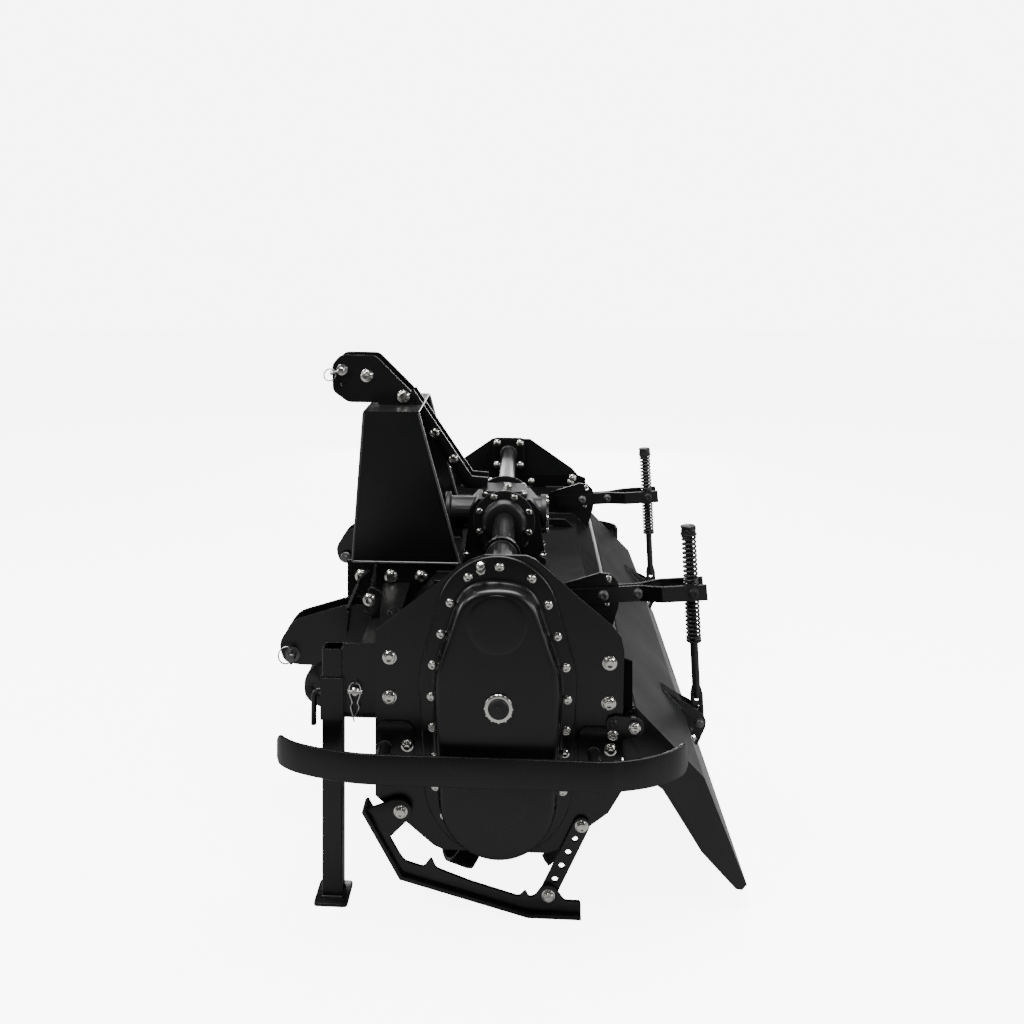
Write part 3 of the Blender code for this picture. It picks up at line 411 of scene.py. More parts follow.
def screw_end(work, point, axis, radius, length, pitch=0.0018):
    """A run of thread, as rings, with a chamfered end."""
    here = Vector(point)
    rings = max(2, int(length / pitch))
    for _ in range(rings):
        drum(work, here, axis, radius, radius * 0.88, pitch * 0.52, 20)
        here = here + Vector(axis) * pitch * 0.5
        drum(work, here, axis, radius * 0.88, radius, pitch * 0.52, 20)
        here = here + Vector(axis) * pitch * 0.5
    drum(work, here, axis, radius * 0.9, radius * 0.7, pitch, 20)


def frames_along(points, closed=False):
    """A steady pair of side vectors at each point of a path."""
    tangents = []
    count = len(points)
    for i in range(count):
        before = points[i - 1] if i or closed else points[i]
        after = points[(i + 1) % count] if i < count - 1 or closed else points[i]
        tangents.append((after - before).normalized())
    side = tangents[0].orthogonal().normalized()
    pairs = []
    for tangent in tangents:
        side = (side - tangent * side.dot(tangent)).normalized()
        pairs.append((side, tangent.cross(side)))
    return pairs


def tube(work, points, radius, sides=12, closed=False, swell=None):
    """A round rod along the points; swell(i) scales its radius at a point."""
    points = [Vector(p) for p in points]
    rings = []
    for i, (point, (u, v)) in enumerate(zip(points, frames_along(points, closed))):
        size = radius * (swell(i) if swell else 1.0)
        ring = []
        for k in range(sides):
            angle = 2 * math.pi * k / sides
            ring.append(work.verts.new(point + (u * math.cos(angle) + v * math.sin(angle)) * size))
        rings.append(ring)
    pairs = list(zip(rings, rings[1:]))
    if closed:
        pairs.append((rings[-1], rings[0]))
    for first, second in pairs:
        for k in range(sides):
            n = (k + 1) % sides
            work.faces.new((first[k], first[n], second[n], second[k]))
    if not closed:
        work.faces.new(rings[0][::-1])
        work.faces.new(rings[-1])


def weld_bead(work, start, end, radius=None, step=0.0045):
    """A rippled weld bead between two points."""
    start, end = Vector(start), Vector(end)
    radius = radius or settings().bead_size
    count = max(3, int((end - start).length / step))
    points = [start.lerp(end, i / (2 * count)) for i in range(2 * count + 1)]
    tube(work, points, radius, 8, swell=lambda i: 1.0 if i % 2 else 0.86)


def ring_bead(work, centre, axis, radius, size=None, first=0.0, last=360.0):
    """A weld bead round a tube."""
    size = size or settings().bead_size
    u = Vector(axis).orthogonal().normalized()
    v = Vector(axis).normalized().cross(u)
    count = max(24, int(radius * 6.283 / 0.0045))
    whole = abs(last - first) >= 360
    steps = count if whole else count + 1
    points = []
    for i in range(steps):
        angle = math.radians(first + (last - first) * i / count)
        points.append(Vector(centre) + (u * math.cos(angle) + v * math.sin(angle)) * radius)
    if not (count % 2 == 0 or not whole):
        points = points[:-1]
    tube(work, points, size, 8, closed=whole, swell=lambda i: 1.0 if i % 2 else 0.86)


def bead_at(work, x, first, last, radius):
    """A weld bead at one x between two (y, z) points; y is from the rotor's axis."""
    weld_bead(work, at(x, *first), at(x, *last), radius)


def grid_faces(work, rows, closed=False):
    """Quads between rows of vertices of the same length."""
    for first, second in zip(rows, rows[1:]):
        count = len(first)
        for k in range(count if closed else count - 1):
            n = (k + 1) % count
            work.faces.new((first[k], first[n], second[n], second[k]))


def piece(name, work, material, body, angle=35.0, bevel=0.0):
    """Makes the gathered shape an object that rides on a body."""
    bmesh.ops.recalc_face_normals(work, faces=work.faces)
    mesh = bpy.data.meshes.new(name)
    work.to_mesh(mesh)
    work.free()
    mesh.materials.append(finish_named(material))
    mesh.shade_smooth()
    mesh.set_sharp_from_angle(angle=math.radians(angle))
    made = bpy.data.objects.new(name, mesh)
    bpy.context.scene.collection.objects.link(made)
    if bevel:
        soften(made, bevel)
    if body:
        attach(made, body)
    return made


def soften(obj, width, segments=2):
    """Rounds the sharp edges with a bevel."""
    edge = obj.modifiers.new("Soft edges", "BEVEL")
    edge.width = width
    edge.segments = segments
    edge.limit_method = "ANGLE"
    edge.angle_limit = math.radians(32)
    edge.harden_normals = True
    return edge


def clasp_ring(work, centre, axis, radius, wire):
    """A wire ring."""
    u = Vector(axis).orthogonal().normalized()
    v = Vector(axis).normalized().cross(u)
    points = []
    for i in range(28):
        angle = 2 * math.pi * i / 28
        points.append(Vector(centre) + (u * math.cos(angle) + v * math.sin(angle)) * radius)
    tube(work, points, wire, 10, closed=True)


def smooth_path(points, steps=6):
    """An open curve through the points."""
    ends = [2 * Vector(points[0]) - Vector(points[1]), 2 * Vector(points[-1]) - Vector(points[-2])]
    line = [ends[0], *[Vector(p) for p in points], ends[1]]
    out = []
    for i in range(1, len(line) - 2):
        p0, p1, p2, p3 = line[i - 1:i + 3]
        for s in range(steps):
            t = s / steps
            out.append(
                0.5 * ((2 * p1) + (p2 - p0) * t + (2 * p0 - 5 * p1 + 4 * p2 - p3) * t * t
                       + (3 * p1 - p0 - 3 * p2 + p3) * t ** 3)
            )
    out.append(line[-2])
    return out


def inset_loop(loop, inset):
    """The closed (y, z) loop moved inwards. It runs anticlockwise."""
    out = []
    count = len(loop)
    for i, here in enumerate(loop):
        tangent = (loop[(i + 1) % count] - loop[i - 1]).normalized()
        outward = Vector((tangent.y, -tangent.x))
        out.append(here - outward * inset)
    return out


def loft(work, rings, first_cap=True, last_cap=True):
    """A skin over closed rings of the same count."""
    rows = [[work.verts.new(p) for p in ring] for ring in rings]
    grid_faces(work, rows, closed=True)
    if first_cap:
        work.faces.new(rows[0][::-1])
    if last_cap:
        work.faces.new(rows[-1])


def lathe(work, point, axis, profile, sides=48, spin=0.0):
    """A turned shape: profile is (distance along axis, radius). Its ends are closed."""
    turn = pose(point, axis, spin)
    rings = []
    for along, radius in profile:
        ring = []
        for k in range(sides):
            angle = 2 * math.pi * k / sides
            ring.append(turn @ Vector((radius * math.cos(angle), radius * math.sin(angle), along)))
        rings.append(ring)
    loft(work, rings)


def cut_plate(work, loops, thickness, matrix, edge=0.0008):
    """A flat plate with holes: loops are (u, v) outlines, laid out by the matrix, with softened edges."""
    curve = bpy.data.curves.new("plate outline", "CURVE")
    curve.dimensions = "2D"
    curve.fill_mode = "BOTH"
    curve.extrude = thickness / 2 - edge
    curve.bevel_depth = edge
    curve.bevel_resolution = 1
    curve.offset = -edge
    for loop in loops:
        spline = curve.splines.new("POLY")
        spline.points.add(len(loop) - 1)
        for point, (u, v) in zip(spline.points, loop):
            point.co = (u, v, 0.0, 1.0)
        spline.use_cyclic_u = True
    shape = bpy.data.objects.new("plate outline", curve)
    bpy.context.scene.collection.objects.link(shape)
    bpy.context.view_layer.update()
    mesh = shape.to_mesh()
    mesh.transform(matrix)
    work.from_mesh(mesh)
    shape.to_mesh_clear()
    bpy.data.objects.remove(shape, do_unlink=True)
    bpy.data.curves.remove(curve)
    bmesh.ops.remove_doubles(work, verts=work.verts, dist=1e-6)


def side_on(x, y=0.0, z=0.0):
    """Lays a (u, v) outline as (y, z) in a plane at x; y is from the rotor's axis."""
    return Matrix(((0, 0, 1, x), (1, 0, 0, AXIS_Y + y), (0, 1, 0, z), (0, 0, 0, 1)))


def rectangle(half_u, half_v):
    """The corners of a rectangle about its middle."""
    return ((-half_u, -half_v), (half_u, -half_v), (half_u, half_v), (-half_u, half_v))


def ring_of(cx, cy, radius, count=24):
    """A circle of (u, v) points."""
    turn = 2 * math.pi / count
    return [(cx + radius * math.cos(i * turn), cy + radius * math.sin(i * turn)) for i in range(count)]


def arc_of(cy, cz, radius, first, last, count):
    """Points of an arc between two angles in degrees."""
    steps = [math.radians(first + (last - first) * i / (count - 1)) for i in range(count)]
    return [Vector((cy + radius * math.cos(a), cz + radius * math.sin(a))) for a in steps]


def smooth_corner(points, radius, count=5):
    """The outline with rounded corners."""
    out = []
    total = len(points)
    for i in range(total):
        here = Vector(points[i])
        before = (Vector(points[i - 1]) - here)
        after = (Vector(points[(i + 1) % total]) - here)
        cut = min(radius, before.length * 0.48, after.length * 0.48)
        start = here + before.normalized() * cut
        end = here + after.normalized() * cut
        for k in range(count):
            t = k / (count - 1)
            out.append(tuple(start * (1 - t) ** 2 + here * 2 * t * (1 - t) + end * t ** 2))
    return out


def bar_outline(path, width):
    """The outline of a flat bar that follows a bent line."""
    points = [Vector(p) for p in path]
    left, right = [], []
    for i, here in enumerate(points):
        before = (here - points[max(i - 1, 0)]).normalized()
        after = (points[min(i + 1, len(points) - 1)] - here).normalized()
        first = before if i else after
        along = (before + after).normalized()
        across = Vector((-along.y, along.x))
        reach = width / 2 / across.dot(Vector((-first.y, first.x)))
        left.append(tuple(here + across * reach))
        right.append(tuple(here - across * reach))
    return left + right[::-1]


def flat_bar(work, start, end, width, thickness, normal):
    """A flat bar between two points; normal is its thin direction."""
    start, end = Vector(start), Vector(end)
    along = (end - start).normalized()
    thin = (Vector(normal) - along * Vector(normal).dot(along)).normalized()
    wide = along.cross(thin)
    rows = []
    for point in (start, end):
        rows.append([point + wide * a * width / 2 + thin * b * thickness / 2
                     for a, b in ((-1, -1), (1, -1), (1, 1), (-1, 1))])
    loft(work, rows)


# ================================================================ operators
class TillerOperator(bpy.types.Operator):
    """Shared options of the tiller's operators."""

    bl_options = {"REGISTER", "UNDO"}


# The finish of each piece whose name starts this way; every other piece is black powder coat.
PIECE_FINISH = {
    "rotor_shaft": "Rotor paint",
    "tine_hub": "Rotor paint",
    "tail_flap": "Flap coat with painted reflection",
    "gearbox": "Cast housing paint",
    "deck": "Deck coat darkened as painted shade",
    "lower_pin": "Dull pin steel",
    "top_link_pin": "Bright pin steel",
    "pto_shaft": "Machined steel",
}
TUBE_PIECES = ("stand_leg", "stand_bracket", "front_beam")  # rounder at the edges than cut plate
TUBE_ROUNDING = 2.2


class TILLER_OT_coat_frame(TillerOperator):
    """Paint every plate, tube and casting of the frame and round its cut edges"""

    bl_idname = "tiller.coat_frame"
    bl_label = "Coat the frame"

    def execute(self, context):
        for name, obj in frame["nodes"].items():
            finish = "Black powder coat"
            for start, special in PIECE_FINISH.items():
                if name.startswith(start):
                    finish = special
            obj.data.materials.clear()
            obj.data.materials.append(finish_named(finish))
            obj.data.shade_smooth()
            obj.data.set_sharp_from_angle(angle=math.radians(32))
            width = settings().edge_radius
            if name.startswith(TUBE_PIECES):
                width *= TUBE_ROUNDING
            if not name.startswith("tine_hub"):
                soften(obj, width)
        return {"FINISHED"}


# ---------------------------------------------------------------- side gear case
# Outlines are (y, z), with y from the rotor's axis.
CASE_TOP, CASE_TOP_R = 0.762, 0.131
DOME_END = 16.2  # the angle at which the dome meets the straight shoulder
CASE_SHOULDER, CASE_WAIST = (0.170, 0.515), (0.164, 0.375)
SHOULDER_BEND = 0.040
CASE_FOOT = (0.272, 0.158)  # the height of the foot's centre, and its radius
FOOT_ARC = (185, 355)
BODY_HALF = (
    (0.0, 0.704), (0.020, 0.7032), (0.038, 0.700), (0.053, 0.6945), (0.066, 0.686), (0.0765, 0.675),
    (0.084, 0.662), (0.0905, 0.645), (0.097, 0.625), (0.1065, 0.597), (0.116, 0.570), (0.1245, 0.545),
    (0.1305, 0.523), (0.1335, 0.500), (0.1335, 0.460), (0.1325, 0.420), (0.131, 0.375), (0.1290, 0.330),
    (0.1262, 0.290),
)
BODY_FOOT = (0.252, 0.124)
BODY_SPINE = (0.252, 0.611)
LOOP_POINTS = 180
# Steps of the pressing, as (out from the side plate, drawn in from the outline).
FLANGE_STEPS = ((0, 0), (0.0046, 0), (0.0066, 0.0008), (0.0078, 0.0024), (0.0083, 0.0044))
WALL_STEPS = (
    (0.0083, -0.0130), (0.0086, -0.0085), (0.0102, -0.0048), (0.0130, -0.0022), (0.0175, -0.0005),
    (0.0230, 0.0), (0.0370, 0.0012),
)
FACE_CORNER, WALL_DRAFT = 0.0140, 0.0014
FACE_STEPS = ((0.85, 0.0002), (0.55, 0.0004), (0.25, 0.0005), (0.02, 0.0006))
BOSS = (
    (-0.002, 0.0640), (0.0004, 0.0630), (0.0014, 0.0600), (0.0019, 0.0560), (0.0020, 0.040), (0.0022, 0.004),
)
CASE_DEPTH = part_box("drive_case_cover")[1].x - FACE
CASE_SEAT = 0.0086  # the flange's face, out from the side plate
BOLT_INSET = {True: 0.0250, False: 0.0190}  # from the flange edge, at the front and at the rear
CASE_BOLTS_FRONT = (0.716, 0.661, 0.593, 0.526, 0.458, 0.392, 0.328, 0.265, 0.203)
CASE_BOLTS_REAR = (0.716, 0.661, 0.594, 0.528, 0.459, 0.394, 0.345, 0.264, 0.165)
CASE_BOLTS_MIDDLE = ((0.004, 0.7390, 0.2), (0.0, 0.1310, 0.5))  # y, z and turn of the top and bottom ones
OIL_PLUG_PLACE = (0.003, 0.456)
OIL_COLLAR = (
    (0.0, 0.0300), (0.0045, 0.0302), (0.0062, 0.0290), (0.0070, 0.0262), (0.0070, 0.0225), (0.004, 0.021),
)
OIL_PLUG = (
    (0.0, 0.0218), (0.0092, 0.0215), (0.0112, 0.0195), (0.0122, 0.0150), (0.0128, 0.006), (0.0130, 0.001),
)
COLLAR_LUGS = 12
BREATHER_PLACE = (-0.036, 0.733)
BREATHER = (
    (0, 0.0062), (0.010, 0.0062), (0.0102, 0.0098), (0.020, 0.0098), (0.0235, 0.0075), (0.025, 0.002),
)


def even_loop(points, count):
    """The closed outline with its points spread evenly, from its first point."""
    lengths = [0.0]
    for here, there in zip(points, points[1:] + points[:1]):
        lengths.append(lengths[-1] + (there - here).length)
    out, side = [], 0
    for i in range(count):
        want = lengths[-1] * i / count
        while lengths[side + 1] < want:
            side += 1
        share = (want - lengths[side]) / (lengths[side + 1] - lengths[side])
        out.append(points[side].lerp(points[(side + 1) % len(points)], share))
    return out


def mirrored_loop(half, foot_z, foot_r):
    """The closed outline from its half, which runs down from the top, and a round foot."""
    front = [Vector((-y, z)) for y, z in half]
    foot = arc_of(0, foot_z, foot_r, *FOOT_ARC, 40)
    rear = [Vector((y, z)) for y, z in half[:0:-1]]
    return even_loop(front + foot + rear, LOOP_POINTS)


def flange_loop():
    """The bolting flange: a dome, straight flared shoulders, a slight waist and a round foot."""
    centre = CASE_TOP - CASE_TOP_R
    dome = [tuple(p) for p in arc_of(0, centre, CASE_TOP_R, 90, DOME_END, 24)]
    shoulder, waist = Vector(CASE_SHOULDER), Vector(CASE_WAIST)
    before = shoulder + (Vector(dome[-1]) - shoulder).normalized() * SHOULDER_BEND
    after = shoulder + (waist - shoulder).normalized() * SHOULDER_BEND
    turn = []
    for k in range(9):
        t = k / 8
        turn.append(tuple(before * (1 - t) ** 2 + shoulder * 2 * t * (1 - t) + after * t ** 2))
    return mirrored_loop(dome + turn + [tuple(waist)], *CASE_FOOT)


def body_loop():
    """The pressed cover's wall: a squarer dome that flares into the shoulders."""
    half = smooth_path([Vector((y, z)) for y, z in BODY_HALF], 3)
    return mirrored_loop([tuple(p) for p in half], *BODY_FOOT)


def towards_spine(loop, share):
    """The loop drawn in towards the line between the case's two shafts."""
    out = []
    for p in loop:
        spine = min(max(p.y, BODY_SPINE[0]), BODY_SPINE[1])
        out.append(Vector((p.x * share, spine + (p.y - spine) * share)))
    return out


def crossing(loop, height, front):
    """The y at which the loop crosses a height on its front or rear side."""
    best = None
    for i, here in enumerate(loop):
        there = loop[i - 1]
        if (here.y - height) * (there.y - height) <= 0 and here.y != there.y:
            y = here.x + (there.x - here.x) * (height - here.y) / (there.y - here.y)
            if (y < 0) == front:
                best = y
    return best


def ring_at(x, loop):
    """The (y, z) loop as points at one x."""
    return [(x, AXIS_Y + p.x, p.y) for p in loop]


def case_shell():
    """The pressed cover: a bolting flange, a filleted wall and a rounded face."""
    work = bmesh.new()
    start = FACE + 0.0003
    flange, body = flange_loop(), body_loop()
    rings = [ring_at(start + out, inset_loop(flange, inset)) for out, inset in FLANGE_STEPS]
    rings += [ring_at(start + out, inset_loop(body, inset)) for out, inset in WALL_STEPS]
    rim = CASE_DEPTH - FACE_CORNER - 0.0008
    for k in range(1, 9):
        angle = math.radians(90 * k / 8)
        inset = WALL_DRAFT + FACE_CORNER * (1 - math.cos(angle))
        rings.append(ring_at(start + (rim + FACE_CORNER * math.sin(angle)), inset_loop(body, inset)))
    face = inset_loop(body, WALL_DRAFT + FACE_CORNER)
    top = start + rim + FACE_CORNER
    for share, more in FACE_STEPS:
        rings.append(ring_at(top + more, towards_spine(face, share)))
    loft(work, rings)
    for height in (SHAFT_Z + 0.004, AXIS_Z + 0.010):
        lathe(work, at(top, 0, height), ACROSS, BOSS, 72)
    return piece("gear_case_cover", work, "Black powder coat", "frame", angle=40)


class TILLER_OT_gear_case(TillerOperator):
    """Make the side gear case: its pressed cover, gasket, bolts, oil level plug and breather"""

    bl_idname = "tiller.gear_case"
    bl_label = "Make the gear case"

    def execute(self, context):
        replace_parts(case_shell(), "drive_case_cover")
        gasket = bmesh.new()
        loop = inset_loop(flange_loop(), -0.0008)
        loft(gasket, [ring_at(FACE + x, loop) for x in (0.0001, 0.0012)])
        piece("gear_case_gasket", gasket, "Black nylon", "frame")
        bolts = bmesh.new()
        seat = FACE + CASE_SEAT
        size = settings().cover_bolt
        for front, heights in ((True, CASE_BOLTS_FRONT), (False, CASE_BOLTS_REAR)):
            line = inset_loop(flange_loop(), BOLT_INSET[front])
            for i, height in enumerate(heights):
                y = crossing(line, height, front)
                hex_bolt(bolts, at(seat, y, height), ACROSS, size, spin=0.35 * i)
        for y, z, turn in CASE_BOLTS_MIDDLE:
            hex_bolt(bolts, at(seat, y, z), ACROSS, size, spin=turn)
        piece("gear_case_bolts", bolts, "Zinc plate", "frame")
        self.oil_plug()
        self.breather()
        return {"FINISHED"}

    def oil_plug(self):
        """The oil level plug: a notched collar, a black plug and its small hex."""
        centre = at(FACE + CASE_DEPTH - 0.0008, *OIL_PLUG_PLACE)
        collar = bmesh.new()
        lathe(collar, centre, ACROSS, OIL_COLLAR, 64)
        for k in range(COLLAR_LUGS):
            angle = 2 * math.pi * k / COLLAR_LUGS
            side = Vector((0, math.cos(angle), math.sin(angle)))
            drum(collar, centre + side * 0.0292, ACROSS, 0.0027, 0.0020, 0.0066, 10)
        piece("oil_plug_collar", collar, "Zinc plate", "frame")
        plug = bmesh.new()
        lathe(plug, centre, ACROSS, OIL_PLUG, 48)
        piece("oil_plug", plug, "Black nylon", "frame")
        key = bmesh.new()
        hex_bolt(key, centre + ACROSS * 0.0126, ACROSS, 0.0120, washer=False)
        piece("oil_plug_hex", key, "Black nylon", "frame")

    def breather(self):
        """The breather: a hex base with its turned stem leaning up and out."""
        work = bmesh.new()
        seat = at(FACE + CASE_SEAT, *BREATHER_PLACE)
        drum(work, seat, ACROSS, 0.0105, 0.0105, 0.006, 6, 0.3)
        lean = (ACROSS + UP * 0.9).normalized()
        lathe(work, seat + ACROSS * 0.004, lean, BREATHER, 28)
        piece("breather", work, "Zinc plate", "frame")


# ---------------------------------------------------------------- side plates
# Each bolt's y and z, and how far inside the plate its nut stands.
PLATE_BOLTS = (
    (-0.234, 0.537, 0.0084), (-0.234, 0.451, 0.0084), (0.239, 0.537, 0.0056), (0.237, 0.451, 0.0),
)
DECK_BOLTS = ((-0.066, 0.522), (0.085, 0.522), (0.232, 0.522))
DECK_FLANGE = 0.0056
LUG_BOLT, LUG_DARK_BOLT = (0.245, 0.387), (0.246, 0.411)
LUG_FACE = 0.0083  # the hinge lug's face, out from the side plate
TUBE_FLANGE_HALF, TUBE_FLANGE_THICK = 0.060, 0.010
TUBE_BOLT_Y, TUBE_BOLT_Z = 0.043, 0.041
TUBE_RADIUS = {"left": 0.0375, "right": 0.028}
TUBE_STEP_BEADS = ((0.4215, 0.031), (0.4405, 0.0385))  # x and radius of each bead on the drive side
BEARING_CAP = (
    (0, 0.0780), (0.0085, 0.0780), (0.0100, 0.0765), (0.0104, 0.0560), (0.0120, 0.0525), (0.0300, 0.0500),
    (0.0350, 0.0480), (0.0372, 0.0430), (0.0376, 0.0260), (0.0368, 0.0240), (0.0368, 0.002),
)


class TILLER_OT_side_fasteners(TillerOperator):
    """Make the bolts and nuts of both side plates, with the far side's bearing cap"""

    bl_idname = "tiller.side_fasteners"
    bl_label = "Make the side plate fasteners"

    def execute(self, context):
        for side, sign in SIDES.items():
            self.plate_bolts(side, sign)
            self.tube_flange(side, sign)
        self.bearing_cap()
        return {"FINISHED"}

    def plate_bolts(self, side, sign):
        """The bolts of the plate, the deck and the hinge, with their nuts inside."""
        outer, inner = sign * FACE, sign * INNER
        out, size = ACROSS * sign, settings().frame_bolt
        work = bmesh.new()
        for i, (y, z, back) in enumerate(PLATE_BOLTS):
            hex_bolt(work, at(outer, y, z), out, size, spin=0.4 + i)
            hex_bolt(work, at(inner - sign * back, y, z), -out, size * 0.92, spin=0.2, tail=0.008)
        for y, z in DECK_BOLTS:
            hex_bolt(work, at(inner - sign * DECK_FLANGE, y, z), -out, size * 0.80, spin=0.7, tail=0.006)
            if side == "right":
                hex_bolt(work, at(outer, y, z), out, size * 0.80, spin=0.7)
        lug = sign * (FACE + LUG_FACE)
        hex_bolt(work, at(lug, *LUG_BOLT), out, size * 0.72, spin=0.9)
        piece(f"side_bolts_{side}", work, "Zinc plate", "frame")
        dark = bmesh.new()
        hex_bolt(dark, at(lug, *LUG_DARK_BOLT), out, size * 0.66, spin=0.1)
        hinge = Vector((lug, HINGE.y, HINGE.z))
        lathe(dark, hinge, out, ((0, 0.0150), (0.0022, 0.0150), (0.0026, 0.0142)), 32)
        piece(f"hinge_fittings_{side}", dark, "Black oxide", "frame")
        nut = bmesh.new()
        hex_bolt(nut, hinge + out * 0.0026, out, size * 0.80, spin=0.5)
        inside = Vector((sign * (FACE - 0.058), HINGE.y, HINGE.z))
        hex_bolt(nut, inside, -out, size * 0.75, spin=0.3)
        piece(f"hinge_nut_{side}", nut, "Zinc plate", "frame")

    def tube_flange(self, side, sign):
        """The square flange that bolts the axle tube to the side plate."""
        work, bolts, weld = bmesh.new(), bmesh.new(), bmesh.new()
        out, size = ACROSS * sign, settings().frame_bolt * 0.86
        loop = smooth_corner(rectangle(TUBE_FLANGE_HALF, TUBE_FLANGE_HALF), 0.016)
        cut_plate(work, [loop], TUBE_FLANGE_THICK, side_on(sign * (INNER - 0.0055), 0, SHAFT_Z))
        piece(f"tube_flange_{side}", work, "Black powder coat", "frame")
        for y in (-TUBE_BOLT_Y, TUBE_BOLT_Y):
            for z in (SHAFT_Z - TUBE_BOLT_Z, SHAFT_Z + TUBE_BOLT_Z):
                hex_bolt(bolts, at(sign * (INNER - 0.0105), y, z), -out, size, tail=0.006)
                if side == "right":
                    hex_bolt(bolts, at(sign * FACE, y, z), out, size)
        piece(f"tube_flange_bolts_{side}", bolts, "Zinc plate", "frame")
        ring_bead(weld, at(sign * (INNER - 0.0135), 0, SHAFT_Z), ACROSS, TUBE_RADIUS[side] + 0.001, 0.0036)
        if side == "left":
            for x, radius in TUBE_STEP_BEADS:
                ring_bead(weld, at(x, 0, SHAFT_Z), ACROSS, radius, 0.0032)
        piece(f"tube_welds_{side}", weld, "Weld bead paint", "frame")

    def bearing_cap(self):
        """The idle side's bearing housing: a turned cap on a six-bolt flange."""
        work, bolts, inner = bmesh.new(), bmesh.new(), bmesh.new()
        size = settings().cover_bolt
        out = -ACROSS
        centre = at(-FACE - 0.0002, 0, AXIS_Z)
        lathe(work, centre, out, BEARING_CAP, 72)
        piece("bearing_cap", work, "Cast housing paint", "frame")
        bolt_circle(bolts, centre + out * 0.0102, out, 0.066, 6, size * 1.1, 30)
        hex_bolt(bolts, centre + out * 0.0366, out, 0.020)
        piece("bearing_cap_bolts", bolts, "Zinc plate", "frame")
        for sign in SIDES.values():
            spot = at(sign * (INNER - 0.0104), 0, AXIS_Z)
            bolt_circle(inner, spot, -ACROSS * sign, 0.0540, 6, size * 0.8, spin=0.3, washer=False)
        piece("bearing_inner_bolts", inner, "Zinc plate", "frame")


# ---------------------------------------------------------------- bumpers
# The bar's line, as (out from the side plate, y).
BUMPER_PATH = (
    (0.000, -0.478), (0.021, -0.460), (0.043, -0.428), (0.063, -0.375), (0.077, -0.318), (0.083, -0.255),
    (0.083, -0.100), (0.083, 0.060), (0.083, 0.215), (0.076, 0.258), (0.061, 0.305), (0.038, 0.348),
    (0.012, 0.380), (-0.022, 0.404),
)
BUMPER_REACH = 0.083
BUMPER_HALF, BUMPER_EDGE = 0.0040, 0.0016
BUMPER_END_DROP = 0.012  # how far the bar's ends are rounded off in height
# Each mount: the tube's y, the pad's ends, the bolt's place and how far short of the bar the tube stops.
BUMPER_MOUNTS = (
    (-0.243, -0.263, -0.181, (-0.195, 0.350), 0.0),
    (0.205, 0.172, 0.262, (0.240, 0.355), 0.0022),
)


class TILLER_OT_bumpers(TillerOperator):
    """Make the bent side bumpers with their mounting brackets and bolts"""

    bl_idname = "tiller.bumpers"
    bl_label = "Make the bumpers"

    def execute(self, context):
        for side, sign in SIDES.items():
            low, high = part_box(f"bumper_{side}")
            z0, z1 = low.z, high.z
            work = bmesh.new()
            points = [Vector((sign * (FACE + out), AXIS_Y + y)) for out, y in BUMPER_PATH]
            line = smooth_path(points, 7)
            half, edge = BUMPER_HALF, BUMPER_EDGE
            section = ((-half, z0 + edge), (-half + edge, z0), (half - edge, z0), (half, z0 + edge),
                       (half, z1 - edge), (half - edge * 0.3, z1 - edge * 0.3), (half - edge, z1),
                       (-half + edge, z1), (-half + edge * 0.3, z1 - edge * 0.3), (-half, z1 - edge))
            rings = []
            for i, here in enumerate(line):
                before, after = line[max(i - 1, 0)], line[min(i + 1, len(line) - 1)]
                along = (after - before).normalized()
                across = Vector((-along.y, along.x))
                end = min(i, len(line) - 1 - i)
                trim = BUMPER_END_DROP * max(0, 1 - end / 3.0) ** 2
                middle = (z0 + z1) / 2
                ring = []
                for u, z in section:
                    z = middle + (z - middle) * (1 - trim / ((z1 - z0) / 2))
                    ring.append((here.x + across.x * u, here.y + across.y * u, z))
                rings.append(ring)
            loft(work, rings)
            bar = piece(f"bumper_bar_{side}", work, "Black powder coat", "frame", angle=38)
            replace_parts(bar, f"bumper_{side}")
            self.brackets(side, sign, z0, z1)
        return {"FINISHED"}

    def brackets(self, side, sign, z0, z1):
        """Each bar's two mounts: a bolted pad on the side plate and a round stand-off tube."""
        work, bolts, weld = bmesh.new(), bmesh.new(), bmesh.new()
        out = ACROSS * sign
        root = FACE + 0.004
        inner = FACE + BUMPER_REACH - BUMPER_HALF
        for tube_y, first, last, bolt, reach in BUMPER_MOUNTS:
            foot, head = z0 + 0.004, 0.400
            pad = smooth_corner(((first, foot), (last, foot), (last, head), (first, head)), 0.022)
            cut_plate(work, [pad], 0.0060, side_on(sign * (FACE + 0.0033)), 0.0012)
            base = at(sign * root, tube_y, z1 - 0.022)
            length = inner - reach - FACE - 0.004
            lathe(work, base, out, ((0, 0.0140), (length, 0.0140), (length, 0.0112), (0.002, 0.0110)), 32)
            ring_bead(weld, base + out * 0.0036, ACROSS, 0.0146, 0.0026)
            ring_bead(weld, base + out * (length - 0.0010), ACROSS, 0.0146, 0.0024)
            hex_bolt(bolts, at(sign * (FACE + 0.0064), *bolt), out, settings().frame_bolt * 0.86, spin=0.6)
        piece(f"bumper_brackets_{side}", work, "Black powder coat", "frame", angle=40)
        piece(f"bumper_bolts_{side}", bolts, "Zinc plate", "frame")
        piece(f"bumper_welds_{side}", weld, "Weld bead paint", "frame")


